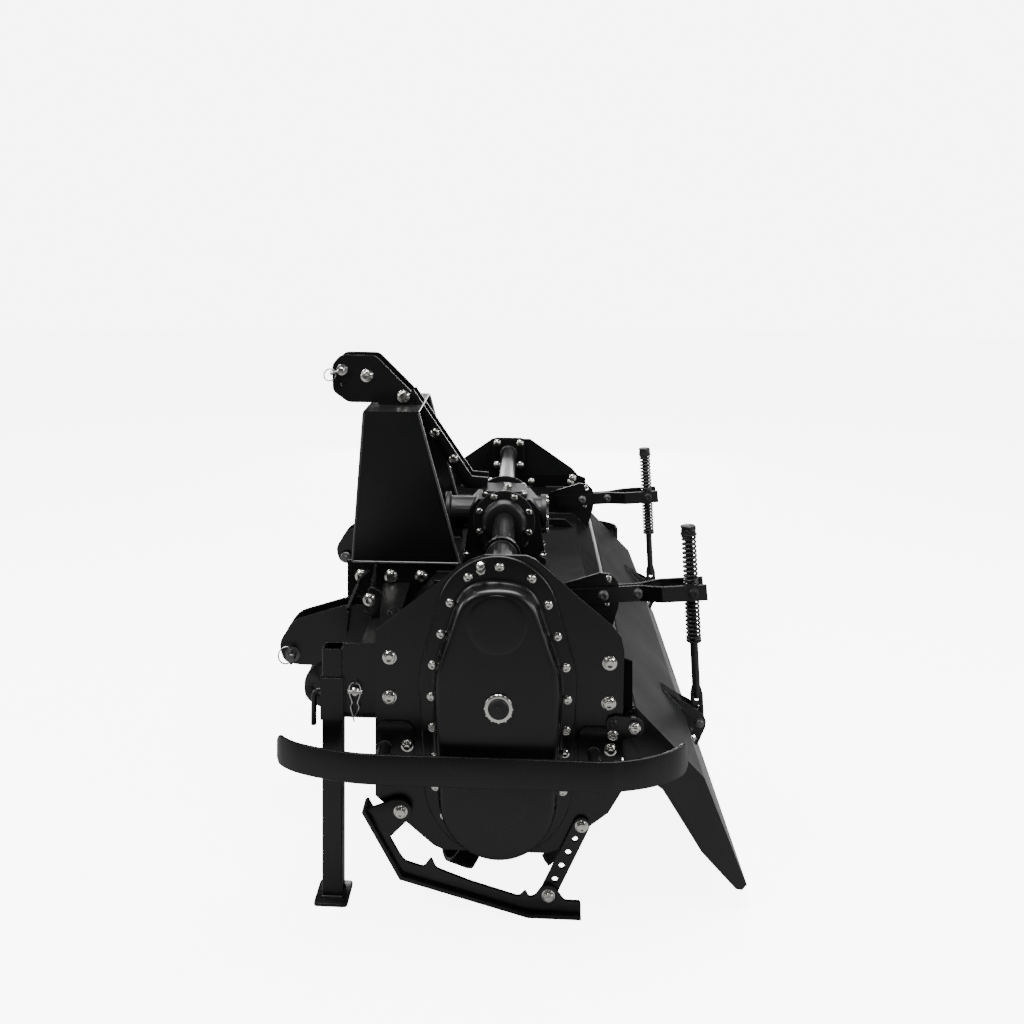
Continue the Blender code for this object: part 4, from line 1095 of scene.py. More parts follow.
# ---------------------------------------------------------------- skids
SKID_PIVOT = (-0.208, 0.2125)
SKID_LINE = ((-0.288, 0.2130), (-0.207, 0.074), (0.065, 0.004), (0.177, 0.004))
SKID_WEB = (
    (-0.287, 0.2070), (-0.272, 0.2175), (-0.222, 0.2365), (-0.200, 0.2360), (-0.185, 0.2220),
    (-0.185, 0.2020), (-0.198, 0.1880), (-0.233, 0.1540), (-0.200, 0.1060), (-0.158, 0.0940),
    (-0.142, 0.1160), (-0.132, 0.0930), (-0.060, 0.0680), (0.046, 0.0390), (0.060, 0.0540), (0.066, 0.0380),
    (0.080, 0.0420), (0.094, 0.0620), (0.108, 0.0670), (0.123, 0.0600), (0.142, 0.0340), (0.177, 0.0340),
    (0.177, 0.0040), (0.065, 0.0040), (-0.207, 0.0740),
)
SKID_THICK = 0.0080
STRAP_TOP, STRAP_FOOT = (0.179, 0.191), (0.108, 0.045)
SOLE_BOLTS = ((-0.035, 0.0365), (0.004, 0.0265))
SOLE_BEADS = (
    ((-0.200, 0.0745), (-0.150, 0.0560)),
    ((-0.060, 0.0430), (0.000, 0.0310)),
    ((0.080, 0.0085), (0.160, 0.0085)),
)


class TILLER_OT_skid_fittings(TillerOperator):
    """Make the skid and strap bolts, their nuts and the skid welds"""

    bl_idname = "tiller.skid_fittings"
    bl_label = "Make the skid fittings"

    def execute(self, context):
        for side, sign in SIDES.items():
            out = ACROSS * sign
            web, strap, inner = sign * (FACE + 0.0166), sign * (FACE + 0.0083), sign * INNER
            bolts, weld = bmesh.new(), bmesh.new()
            size = settings().frame_bolt
            hex_bolt(bolts, at(web, *SKID_PIVOT), out, size * 0.95, spin=0.2)
            hex_bolt(bolts, at(strap, *STRAP_TOP), out, size * 0.90, spin=0.8)
            hex_bolt(bolts, at(web, *STRAP_FOOT), out, size * 0.90, spin=0.5)
            hex_bolt(bolts, at(inner, *SKID_PIVOT), -out, size * 0.86, spin=0.2, tail=0.006)
            hex_bolt(bolts, at(inner, *STRAP_TOP), -out, size * 0.86, spin=0.5, tail=0.006)
            for place in SOLE_BOLTS:
                hex_bolt(bolts, at(web - sign * 0.014, *place), UP, size * 0.34, washer=False)
            piece(f"skid_bolts_{side}", bolts, "Zinc plate", "frame")
            self.runner(side, sign)
            for first, last in SOLE_BEADS:
                bead_at(weld, sign * (FACE + SKID_THICK), first, last, 0.0030)
            piece(f"skid_welds_{side}", weld, "Weld bead paint", "frame")
        return {"FINISHED"}

    def runner(self, side, sign):
        """The angle-section runner: a cut web, a wide sole and the pivot's boss."""
        low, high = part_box(f"skid_{side}")
        work = bmesh.new()
        web = smooth_corner(SKID_WEB, 0.007, 4)
        cut_plate(work, [web], SKID_THICK, side_on(sign * (FACE + 0.0126)), 0.0011)
        sole = bar_outline(SKID_LINE, SKID_THICK)
        loft(work, [[at(x, y, z) for y, z in sole] for x in (low.x, high.x)])
        pivot = at(sign * (FACE + 0.0003), *SKID_PIVOT)
        lathe(work, pivot, ACROSS * sign, ((0, 0.0170), (0.0090, 0.0170)), 32)
        made = piece(f"runner_{side}", work, "Black powder coat", "frame", angle=32)
        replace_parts(made, f"skid_{side}")


# ---------------------------------------------------------------- centre gearbox
SIDE_COVER = (
    (0, 0.0890), (0.0050, 0.0890), (0.0062, 0.0877), (0.0062, 0.0640), (0.0090, 0.0600), (0.0150, 0.0560),
    (0.0185, 0.0500), (0.0185, 0.031),
)
INPUT_Y = -0.1725
INPUT_FLANGE = (
    (0, 0.044), (-0.0012, 0.050), (0.0010, 0.0600), (0.0110, 0.0605), (0.0125, 0.0590), (0.0160, 0.0490),
    (0.030, 0.0480),
)
INPUT_SEAL = ((0, 0.036), (0.0125, 0.036), (0.0135, 0.034), (0.0135, 0.020))
REAR_COVER = (
    (-0.010, 0.0560), (0.0040, 0.0560), (0.0052, 0.0545), (0.0056, 0.0400), (0.0105, 0.0360),
    (0.0120, 0.0300), (0.0120, 0.003),
)
FILL_PLUG = (
    (0, 0.0150), (0.006, 0.0150), (0.0065, 0.0105), (0.016, 0.0105), (0.019, 0.0088), (0.0215, 0.003),
)
BOX_FOOT_X, BOX_FOOT_Y = 0.052, 0.088
BOX_RIB = ((0.1185, 0.516), (0.0995, 0.640), (0.0995, 0.516))
BOX_RIB_SPACING, BOX_RIB_HALF = 0.056, 0.0035
TOP_CAP_HALF = (0.060, 0.067)
TOP_BOLT_X, TOP_BOLT_Y = 0.049, 0.056


class TILLER_OT_gearbox_fittings(TillerOperator):
    """Make the gearbox's side covers, top cap, ribs, input flange, fill plug and bolts"""

    bl_idname = "tiller.gearbox_fittings"
    bl_label = "Make the gearbox fittings"

    def execute(self, context):
        cast, bolts = bmesh.new(), bmesh.new()
        self.side_covers(cast, bolts)
        self.ribs(cast)
        self.top_cap(cast, bolts)
        self.input_and_rear(cast, bolts)
        piece("gearbox_castings", cast, "Cast housing paint", "frame", bevel=0.0009)
        piece("gearbox_bolts", bolts, "Zinc plate", "frame")
        self.input_seal()
        self.plugs()
        return {"FINISHED"}

    def side_covers(self, cast, bolts):
        """The turned cover where each axle tube leaves, and the feet bolted to the deck."""
        size = settings().cover_bolt
        for sign in SIDES.values():
            out = ACROSS * sign
            face = at(sign * 0.0938, 0, SHAFT_Z)
            lathe(cast, face, out, SIDE_COVER, 64)
            bolt_circle(bolts, face + out * 0.0062, out, 0.0765, 8, size, 22.5)
            for y in (-BOX_FOOT_Y, BOX_FOOT_Y):
                drum(cast, at(sign * BOX_FOOT_X, y, 0.515), UP, 0.016, 0.013, 0.012, 24)
                hex_bolt(bolts, at(sign * BOX_FOOT_X, y * 1.24, 0.5195), UP, size * 1.35, spin=y)

    def ribs(self, cast):
        """Cast ribs on the front and the rear."""
        for x in (-BOX_RIB_SPACING, 0.0, BOX_RIB_SPACING):
            for hand in (-1, 1):
                sides = (x - BOX_RIB_HALF, x + BOX_RIB_HALF)
                loft(cast, [[at(side, hand * y, z) for y, z in BOX_RIB] for side in sides])

    def top_cap(self, cast, bolts):
        """The flat cap with its six bolts."""
        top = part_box("gearbox")[1].z
        cap = smooth_corner(rectangle(*TOP_CAP_HALF), 0.016)
        cut_plate(cast, [cap], 0.010, Matrix.Translation((0, AXIS_Y, top - 0.0110)), 0.0014)
        for x in (-TOP_BOLT_X, TOP_BOLT_X):
            for y in (-TOP_BOLT_Y, 0.0, TOP_BOLT_Y):
                hex_bolt(bolts, at(x, y, top - 0.006), UP, settings().cover_bolt * 0.95, spin=x + y)

    def input_and_rear(self, cast, bolts):
        """The input stub's flange in front, and the bearing cover behind."""
        size = settings().cover_bolt * 0.9
        front = at(0, INPUT_Y, SHAFT_Z)
        lathe(cast, front, ALONG, INPUT_FLANGE, 64)
        bolt_circle(bolts, front + ALONG * 0.0008, -ALONG, 0.0540, 6, size, 30, washer=False)
        back = at(0, 0.1178, SHAFT_Z)
        lathe(cast, back, ALONG, REAR_COVER, 56)
        bolt_circle(bolts, back + ALONG * 0.0052, ALONG, 0.0480, 6, size)

    def input_seal(self):
        """The black seal round the input stub."""
        seal = bmesh.new()
        lathe(seal, at(0, INPUT_Y + 0.010, SHAFT_Z), -ALONG, INPUT_SEAL, 48)
        piece("input_seal", seal, "Black nylon", "frame")

    def plugs(self):
        """The fill plug on top and the level plug on the left."""
        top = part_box("gearbox")[1].z
        fill = bmesh.new()
        lathe(fill, at(0.012, 0.010, top - 0.006), UP, FILL_PLUG, 32)
        drum(fill, at(0.012, 0.010, top + 0.0005), UP, 0.0128, 0.0124, 0.006, 6, 0.2)
        hex_bolt(fill, at(0.0765, 0.055, 0.560), ACROSS, 0.020)
        piece("gearbox_plugs", fill, "Zinc plate", "frame")


# ---------------------------------------------------------------- hitch
# Bent straps that tie each clevis to the mast plate: (x, y, z) points of each.
CLEVIS_STRAPS = (
    ((0.386, -0.352, 0.488), (0.300, -0.352, 0.494), (0.1835, -0.360, 0.505)),
    ((0.470, -0.398, 0.432), (0.470, -0.392, 0.490), (0.440, -0.372, 0.540), (0.380, -0.352, 0.548)),
)
CLEVIS_TAB = ((-0.372, 0.452), (-0.318, 0.430), (-0.305, 0.535), (-0.338, 0.552))
CLEVIS_TAB_BOLT = (-0.3385, 0.517)
CLEVIS_LOBE = ((-0.440, 0.375), (-0.507, 0.322), (-0.507, 0.262), (-0.470, 0.238), (-0.440, 0.238))
LOBE_HOLE = (-0.474, 0.289, 0.0112)  # y, z and radius
PIN_HEAD = ((0, 0.0175), (0.0085, 0.0175), (0.0100, 0.0160), (0.0104, 0.004))
PIN_COLLAR = ((0, 0.0190), (0.0028, 0.0190), (0.003, 0.0185))
TOP_PIN_HEAD = ((0, 0.0170), (0.0090, 0.0170), (0.0105, 0.0155), (0.0108, 0.003))
TOP_PIN_COLLAR = ((0, 0.0165), (0.0030, 0.0165), (0.0033, 0.016))
MAST_BOLTS_Y, MAST_BOLTS_Z = (-0.401, -0.317, -0.231), 0.4860
TOP_HITCH_BOLTS = ((-0.405, 1.036), (-0.296, 0.976))
BRACE_WIDTH = 0.036
BRACE_BOLTS = ((-0.205, 0.868), (-0.150, 0.792))
SHIELD_FRONT, SHIELD_REAR = (-0.4265, -0.3950), (-0.1235, -0.2395)  # y at the foot and at the top
SHIELD_FOOT_Z = 0.527


def outer_face(name):
    """How far from the middle a piece's outer face stands."""
    low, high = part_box(name)
    return max(abs(low.x), abs(high.x))


class TILLER_OT_hitch_fittings(TillerOperator):
    """Make the hitch pins' heads and linchpins, the mast bolts, gussets and shield hems"""

    bl_idname = "tiller.hitch_fittings"
    bl_label = "Make the hitch fittings"

    def execute(self, context):
        self.lower_pins()
        self.top_pin()
        self.mast_bolts()
        self.gussets()
        self.shield_hems()
        return {"FINISHED"}

    def lower_pins(self):
        """Dark turned pins with a round clip hung on each outer end."""
        for side, sign in SIDES.items():
            low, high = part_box(f"lower_pin_{side}")
            centre = (low + high) / 2
            reach = (high.x - low.x) / 2
            radius = (high.z - low.z) / 2
            dull, bright = bmesh.new(), bmesh.new()
            for hand in (-1, 1):
                out = ACROSS * hand
                end = centre + out * (reach - 0.0005)
                tip = ((0, radius), (0.016, radius * 0.99), (0.018, radius * 0.88), (0.0186, 0.002))
                lathe(dull, end, out, tip, 32)
            outer = ACROSS * sign
            through = centre + outer * (reach + 0.006)
            tube(dull, [through - UP * 0.018, through + UP * 0.016], 0.0040, 14)
            drum(dull, through + UP * 0.013, UP, 0.0066, 0.0060, 0.007, 20)
            ring = through + Vector((0, -0.013, 0.004))
            clasp_ring(bright, ring, ALONG * 0.45 + outer + UP * 0.30, 0.0200, 0.0019)
            lathe(dull, centre - outer * (reach - 0.004), -outer, PIN_HEAD, 32)
            lathe(dull, centre + outer * (reach - 0.0145), outer, PIN_COLLAR, 32)
            piece(f"lower_pin_ends_{side}", dull, "Dull pin steel", "frame")
            piece(f"lower_pin_clip_{side}", bright, "Clip wire", "frame")

    def top_pin(self):
        """The bright top link pin: its head, its collar and a linchpin with a round clip."""
        low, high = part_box("top_link_pin")
        centre, reach = (low + high) / 2, (high.x - low.x) / 2
        radius = (high.z - low.z) / 2
        bright, wire = bmesh.new(), bmesh.new()
        tip = ((0, radius), (0.010, radius), (0.0115, radius * 0.85), (0.012, 0.002))
        lathe(bright, centre + ACROSS * (reach - 0.001), ACROSS, tip, 32)
        lathe(bright, centre + ACROSS * (reach - 0.0155), ACROSS, TOP_PIN_COLLAR, 32)
        through = centre + ACROSS * (reach - 0.003)
        lean = (ALONG * -0.86 + UP * -0.25).normalized()
        tube(bright, [through - lean * 0.014, through + lean * 0.030], 0.0042, 14)
        drum(bright, through + lean * 0.026, lean, 0.0068, 0.0062, 0.009, 20)
        clasp_ring(wire, through + lean * 0.036 + UP * -0.004, ACROSS * 0.9 + UP * 0.3, 0.0175, 0.0021)
        piece("top_pin_clip", wire, "Clip wire", "frame")
        lathe(bright, centre - ACROSS * (reach - 0.004), -ACROSS, TOP_PIN_HEAD, 32)
        piece("top_pin_fittings", bright, "Bright pin steel", "frame")

    def mast_bolts(self):
        """The mast's bolts on each side, and the brace bars that they hold."""
        bolts, size = bmesh.new(), settings().frame_bolt
        for side, sign in SIDES.items():
            out = ACROSS * sign
            face = outer_face(f"mast_plate_{side}")
            for i, y in enumerate(MAST_BOLTS_Y):
                hex_bolt(bolts, at(sign * face, y, MAST_BOLTS_Z), out, size * 1.22, spin=0.3 + i)
                back = at(sign * (face - 0.008), y, MAST_BOLTS_Z)
                hex_bolt(bolts, back, -out, size * 1.05, spin=0.3, tail=0.008)
            face = outer_face(f"top_hitch_{side}")
            for y, z in TOP_HITCH_BOLTS:
                hex_bolt(bolts, at(sign * face, y, z), out, size * 1.2, spin=y)
            self.brace(side)
            face = outer_face(f"mast_brace_{side}")
            for y, z in BRACE_BOLTS:
                hex_bolt(bolts, at(sign * face, y, z), out, size * 0.9, spin=z)
        piece("mast_bolts", bolts, "Zinc plate", "frame")

    def brace(self, side):
        """The flat bar from the top hitch down to the gearbox, bent level at its foot."""
        low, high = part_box(f"mast_brace_{side}")
        rest = low.z + BRACE_WIDTH / 2
        bar = bmesh.new()
        line = ((-0.282, high.z - BRACE_WIDTH * 0.36), (-0.106, rest + 0.004), (-0.050, rest))
        outline = bar_outline(line, BRACE_WIDTH)
        cut_plate(bar, [outline], high.x - low.x, side_on((low.x + high.x) / 2), 0.0012)
        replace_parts(piece(f"brace_bar_{side}", bar, "Black powder coat", "frame"), f"mast_brace_{side}")

    def gussets(self):
        """Flat struts from the clevis to the mast plate, and the bolted tab on the clevis."""
        work, bolts, weld = bmesh.new(), bmesh.new(), bmesh.new()
        beam_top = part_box("front_beam")[1].z + 0.001
        for side, sign in SIDES.items():
            low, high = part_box(f"hitch_clevis_{side}")
            inner = sign * min(abs(low.x), abs(high.x))
            outer = sign * max(abs(low.x), abs(high.x))
            for path in CLEVIS_STRAPS:
                line = [at(sign * x, y, z) for x, y, z in path]
                for first, second in zip(line, line[1:]):
                    flat_bar(work, first, second, 0.036, 0.007, ALONG)
            cut_plate(work, [smooth_corner(CLEVIS_TAB, 0.012)], 0.008, side_on(outer - sign * 0.0045))
            lobe = [smooth_corner(CLEVIS_LOBE, 0.028), ring_of(*LOBE_HOLE)]
            for x in (inner + sign * 0.0045, outer - sign * 0.0045):
                cut_plate(work, lobe, 0.009, side_on(x))
            seat = at(outer + sign * 0.0002, *CLEVIS_TAB_BOLT)
            hex_bolt(bolts, seat, ACROSS * sign, settings().frame_bolt * 1.05, spin=0.3)
            for x in (inner, outer):
                for z in (0.352, 0.486):
                    bead_at(weld, x, (-0.3515, z), (-0.336, z), 0.0034)
            for x in (sign * 0.384, sign * 0.480):
                bead_at(weld, x, (-0.3365, 0.352), (-0.3365, 0.396), 0.0036)
            ends = [at(sign * x, -0.336, beam_top) for x in (0.385, 0.479)]
            weld_bead(weld, *ends, 0.0036)
        piece("hitch_struts", work, "Black powder coat", "frame", bevel=0.0008)
        piece("hitch_strut_bolts", bolts, "Zinc plate", "frame")
        piece("hitch_welds", weld, "Weld bead paint", "frame")

    def shield_hems(self):
        """The folded hems round the shield's open edges."""
        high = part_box("pto_shield")[1]
        work = bmesh.new()
        top = high.z - 0.004
        for sign in SIDES.values():
            x = sign * (high.x - 0.0022)
            front = [at(x, SHIELD_FRONT[0], SHIELD_FOOT_Z), at(x, SHIELD_FRONT[1], top)]
            rear = [at(x, SHIELD_REAR[1], top), at(x, SHIELD_REAR[0], SHIELD_FOOT_Z)]
            foot = [at(x, y, SHIELD_FOOT_Z - 0.0005) for y in (SHIELD_FRONT[0], SHIELD_REAR[0])]
            for line in (front, rear, foot):
                tube(work, line, 0.0038, 12)
        for y in (SHIELD_FRONT[1] + 0.0005, SHIELD_REAR[1] - 0.0015):
            tube(work, [at(x, y, high.z - 0.002) for x in (-high.x + 0.004, high.x - 0.004)], 0.0031, 12)
        # The hems take the lightened coat as painted highlight.
        piece("shield_hems", work, "Hem coat lightened as painted highlight", "frame")


# ---------------------------------------------------------------- stands
LOCK_PIN_Z = 0.449
SLEEVE_TOP, SLEEVE_HALF = 0.485, 0.0254
# The lock pin's line from its hanging handle to its tail: y from the bracket's front, z from the pin.
LOCK_PIN = (
    (-0.019, -0.075), (-0.0185, -0.030), (-0.0175, -0.010), (-0.012, -0.0015), (-0.002, 0), (0.085, 0),
)
LOCK_PIN_REAR = 0.0735
CLIP_SEAT = (-0.310, 0.458)
CLIP_STUD = ((0, 0.0098), (0.0060, 0.0098), (0.0085, 0.0070), (0.0090, 0.002))
CLIP_LEG = ((0.002, 0.021), (0.011, 0.015), (0.012, -0.002), (0.006, -0.022), (0.009, -0.034))
CLIP_FEET = {-1: (0.001, -0.0635), 1: (-0.001, -0.052)}
LEG_HALF, LEG_WALL = 0.02225, 0.0036
LEG_DEPTH = 0.060  # how deep the open top of the tube is drawn
FOOT_HALF = (0.045, 0.037)
LEG_HOLES = (0.150, 0.230, 0.310, 0.530)
# A black disc drawn at each pin hole of the leg as painted shade, as (along, radius).
HOLE_SHADE_DISC = ((0, 0.0072), (0.0009, 0.0072), (0.00095, 0.0062), (0.0002, 0.0060), (0.0001, 0.0005))
BRACKET_SEAM = (0.0515, 0.414, 0.484)  # y from the bracket's front, and z from and to


class TILLER_OT_stand_fittings(TillerOperator):
    """Make the stand lock pins with their bent handles and linchpins, the legs with their foot plates, and
    welds
    """

    bl_idname = "tiller.stand_fittings"
    bl_label = "Make the stand fittings"

    def execute(self, context):
        for side, sign in SIDES.items():
            low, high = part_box(f"stand_leg_{side}")
            centre = (low + high) / 2
            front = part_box(f"stand_bracket_{side}")[0].y
            self.lock_pin(side, sign, centre.x, front)
            self.bracket_welds(side, sign, centre, front)
            self.leg(side, centre, high.z)
        return {"FINISHED"}

    def lock_pin(self, side, sign, x, front):
        """The bent lock pin through the sleeve, with its linchpin, collar and the clip beside it."""
        bright, dark = bmesh.new(), bmesh.new()
        pin = Vector((x, front, LOCK_PIN_Z))
        tube(dark, smooth_path([pin + ALONG * y + UP * z for y, z in LOCK_PIN], 5), 0.0062, 16)
        rear = pin + ALONG * LOCK_PIN_REAR
        tube(bright, [rear + UP * 0.020, rear - UP * 0.022], 0.0040, 14)
        drum(bright, rear + UP * 0.017, UP, 0.0066, 0.0060, 0.009, 20)
        ring = rear + ALONG * 0.005 - UP * 0.018
        clasp_ring(bright, ring, ACROSS * 0.9 + ALONG * 0.45, 0.0205, 0.0017)
        drum(bright, pin - ALONG * 0.003, ALONG, 0.0118, 0.0118, 0.0028, 24)
        self.hung_clip(bright, sign)
        piece(f"stand_pin_{side}", dark, "Black oxide", "frame")
        piece(f"stand_linchpin_{side}", bright, "Bright pin steel", "frame")

    def bracket_welds(self, side, sign, centre, front):
        """Beads round the top of the sleeve and down the bracket's joint."""
        weld = bmesh.new()
        corners = rectangle(SLEEVE_HALF, SLEEVE_HALF)
        rim = [Vector((centre.x + u, centre.y + v, SLEEVE_TOP)) for u, v in corners]
        for here, there in zip(rim, rim[1:] + rim[:1]):
            weld_bead(weld, here.lerp(there, 0.1), here.lerp(there, 0.9), 0.0019, 0.004)
        y, z0, z1 = BRACKET_SEAM
        for inset in (0.0163, 0.0083):
            joint = sign * (FACE - inset)
            weld_bead(weld, Vector((joint, front + y, z0)), Vector((joint, front + y, z1)), 0.0036)
        piece(f"stand_welds_{side}", weld, "Weld bead paint", "frame")

    def hung_clip(self, work, sign):
        """A spring clip on a stud of the bracket, with its two legs hanging."""
        seat = at(sign * (FACE - 0.0083), *CLIP_SEAT)
        out = ACROSS * sign
        lathe(work, seat, out, CLIP_STUD, 24)
        pin = seat + out * 0.006
        tube(work, [pin - ALONG * 0.015, pin + ALONG * 0.016], 0.0042, 12)
        for hand, foot in CLIP_FEET.items():
            line = [seat + out * 0.0075 + ALONG * y * hand + UP * z for y, z in (*CLIP_LEG, foot)]
            tube(work, smooth_path(line, 4), 0.0016, 8)

    def leg(self, side, centre, top):
        """The square tube with its open top, its foot plate, its welds, and black discs of painted shade
        where its pin holes are.
        """
        leg, weld, holes = bmesh.new(), bmesh.new(), bmesh.new()
        x, y, bore = centre.x, centre.y, LEG_HALF - LEG_WALL
        outer = smooth_corner(rectangle(LEG_HALF, LEG_HALF), 0.0050)
        inner = smooth_corner(rectangle(bore, bore), 0.0025)
        outside = [(outer, z) for z in (0.006, top - 0.0008, top)]
        inside = [(inner, z) for z in (top, top - LEG_DEPTH)]
        loft(leg, [[(x + u, y + v, z) for u, v in loop] for loop, z in outside + inside])
        foot = smooth_corner(rectangle(*FOOT_HALF), 0.009)
        cut_plate(leg, [foot], 0.0078, Matrix.Translation((x, y, 0.0040)), 0.0016)
        made = piece(f"stand_tube_{side}", leg, "Black powder coat", f"stand_{side}", angle=30)
        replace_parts(made, f"stand_leg_{side}")
        rim = [Vector((x + u, y + v, 0.0090)) for u, v in rectangle(LEG_HALF, LEG_HALF)]
        for here, there in zip(rim, rim[1:] + rim[:1]):
            weld_bead(weld, here, there, 0.0030)
        piece(f"stand_foot_weld_{side}", weld, "Weld bead paint", f"stand_{side}")
        # The pin holes are not cut: black nylon discs stand in for them as painted shade.
        for z in LEG_HOLES:
            for hand in (-1, 1):
                lathe(holes, Vector((x, y + hand * (LEG_HALF - 0.0007), z)), ALONG * hand, HOLE_SHADE_DISC, 24)
        piece(f"stand_hole_shade_{side}", holes, "Black nylon", f"stand_{side}")


# ---------------------------------------------------------------- arms and spring rods
ARM_HALF, FORK_HALF = 0.0046 + 0.008, 0.0275 + 0.008  # outer faces of the arm, single and forked
ARM_BOLTS = ((0.254, 0.5525), (0.340, 0.5595))
ARM_BRACKET_BOLTS = ((0.267, 0.5935), (0.262, 0.531))
TRUNNION_CAP = ((0, 0.0150), (0.0024, 0.0150), (0.0027, 0.0145))


class TILLER_OT_arm_fittings(TillerOperator):
    """Make the bolts of the lift arms, their brackets and their pivots"""

    bl_idname = "tiller.arm_fittings"
    bl_label = "Make the arm fittings"

    def execute(self, context):
        size = settings().frame_bolt
        for side in SIDES:
            trunnion = Vector(JOINTS[f"swivel_{side}_pivot"]["pos_m"])
            bolts, pivots, dark, weld = bmesh.new(), bmesh.new(), bmesh.new(), bmesh.new()
            for hand in (-1, 1):
                out = ACROSS * hand
                for y, z in ARM_BOLTS:
                    spot = at(trunnion.x + hand * ARM_HALF, y, z)
                    hex_bolt(pivots, spot, out, size * 0.85, spin=0.4 + hand, tail=0.006 if hand < 0 else 0)
                end = trunnion + out * (FORK_HALF + 0.0002)
                lathe(dark, end, out, TRUNNION_CAP, 32)
                hex_bolt(dark, end + out * 0.0025, out, 0.0205, washer=False, spin=0.3)
            for y, z in ARM_BRACKET_BOLTS:
                for hand in (-1, 1):
                    spot = at(trunnion.x + hand * 0.0041, y, z)
                    hex_bolt(bolts if hand > 0 else dark, spot, ACROSS * hand, size * 0.50, spin=z)
            for hand in (-1, 1):
                bead_at(weld, trunnion.x + hand * 0.0058, (0.092, 0.5022), (0.222, 0.5022), 0.0034)
            piece(f"arm_bolts_{side}", bolts, "Zinc plate", "frame")
            piece(f"arm_pivot_bolts_{side}", pivots, "Dull pin steel", "frame")
            piece(f"arm_trunnion_caps_{side}", dark, "Black oxide", "frame")
            piece(f"arm_welds_{side}", weld, "Weld bead paint", "frame")
        return {"FINISHED"}


ROD_EYE = -0.3234  # the eye's centre, along the rod from the trunnion
ROD_RADIUS = 0.0100
SPRING_CLEAR = 0.0166  # from the trunnion to the first coil
SPRING_LENGTH = {"upper": 0.118, "lower": 0.108}
SPRING_RADIUS, SPRING_WIRE = 0.0158, 0.0030
UPPER_SEAT, LOWER_SEAT = 0.1352, -0.1252
SPRING_SEAT = ((0, 0.0205), (0.0030, 0.0205), (0.0034, 0.0198))
ROD_FLANGE = ((0, 0.0185), (0.0006, 0.0190), (0.0040, 0.0190), (0.0044, 0.0186))
# The lock nuts above the spring: (along the rod, lower radius, upper radius, height, turn).
LOCK_NUTS = (
    (0.0, 0.0200, 0.0200, 0.0105, 0.25), (0.0105, 0.0198, 0.0184, 0.0010, 0.25),
    (0.0115, 0.0200, 0.0200, 0.0072, 0.60), (0.0187, 0.0198, 0.0176, 0.0012, 0.60),
)
BLADE_HALF, BLADE_THICK = 0.0152, 0.0092
BLADE_SHOULDER = ((0.0152, 0.062), (0.0125, 0.076), (0.0070, 0.090))
BLADE_HOLES = ((0, 0.0084, 20), (0.0300, 0.0058, 18), (0.0500, 0.0058, 18))  # height, radius and sides
SWIVEL_WASHER = ((0, 0.0182), (0.0008, 0.0182), (0.0010, 0.0176), (0.0010, 0.0125))


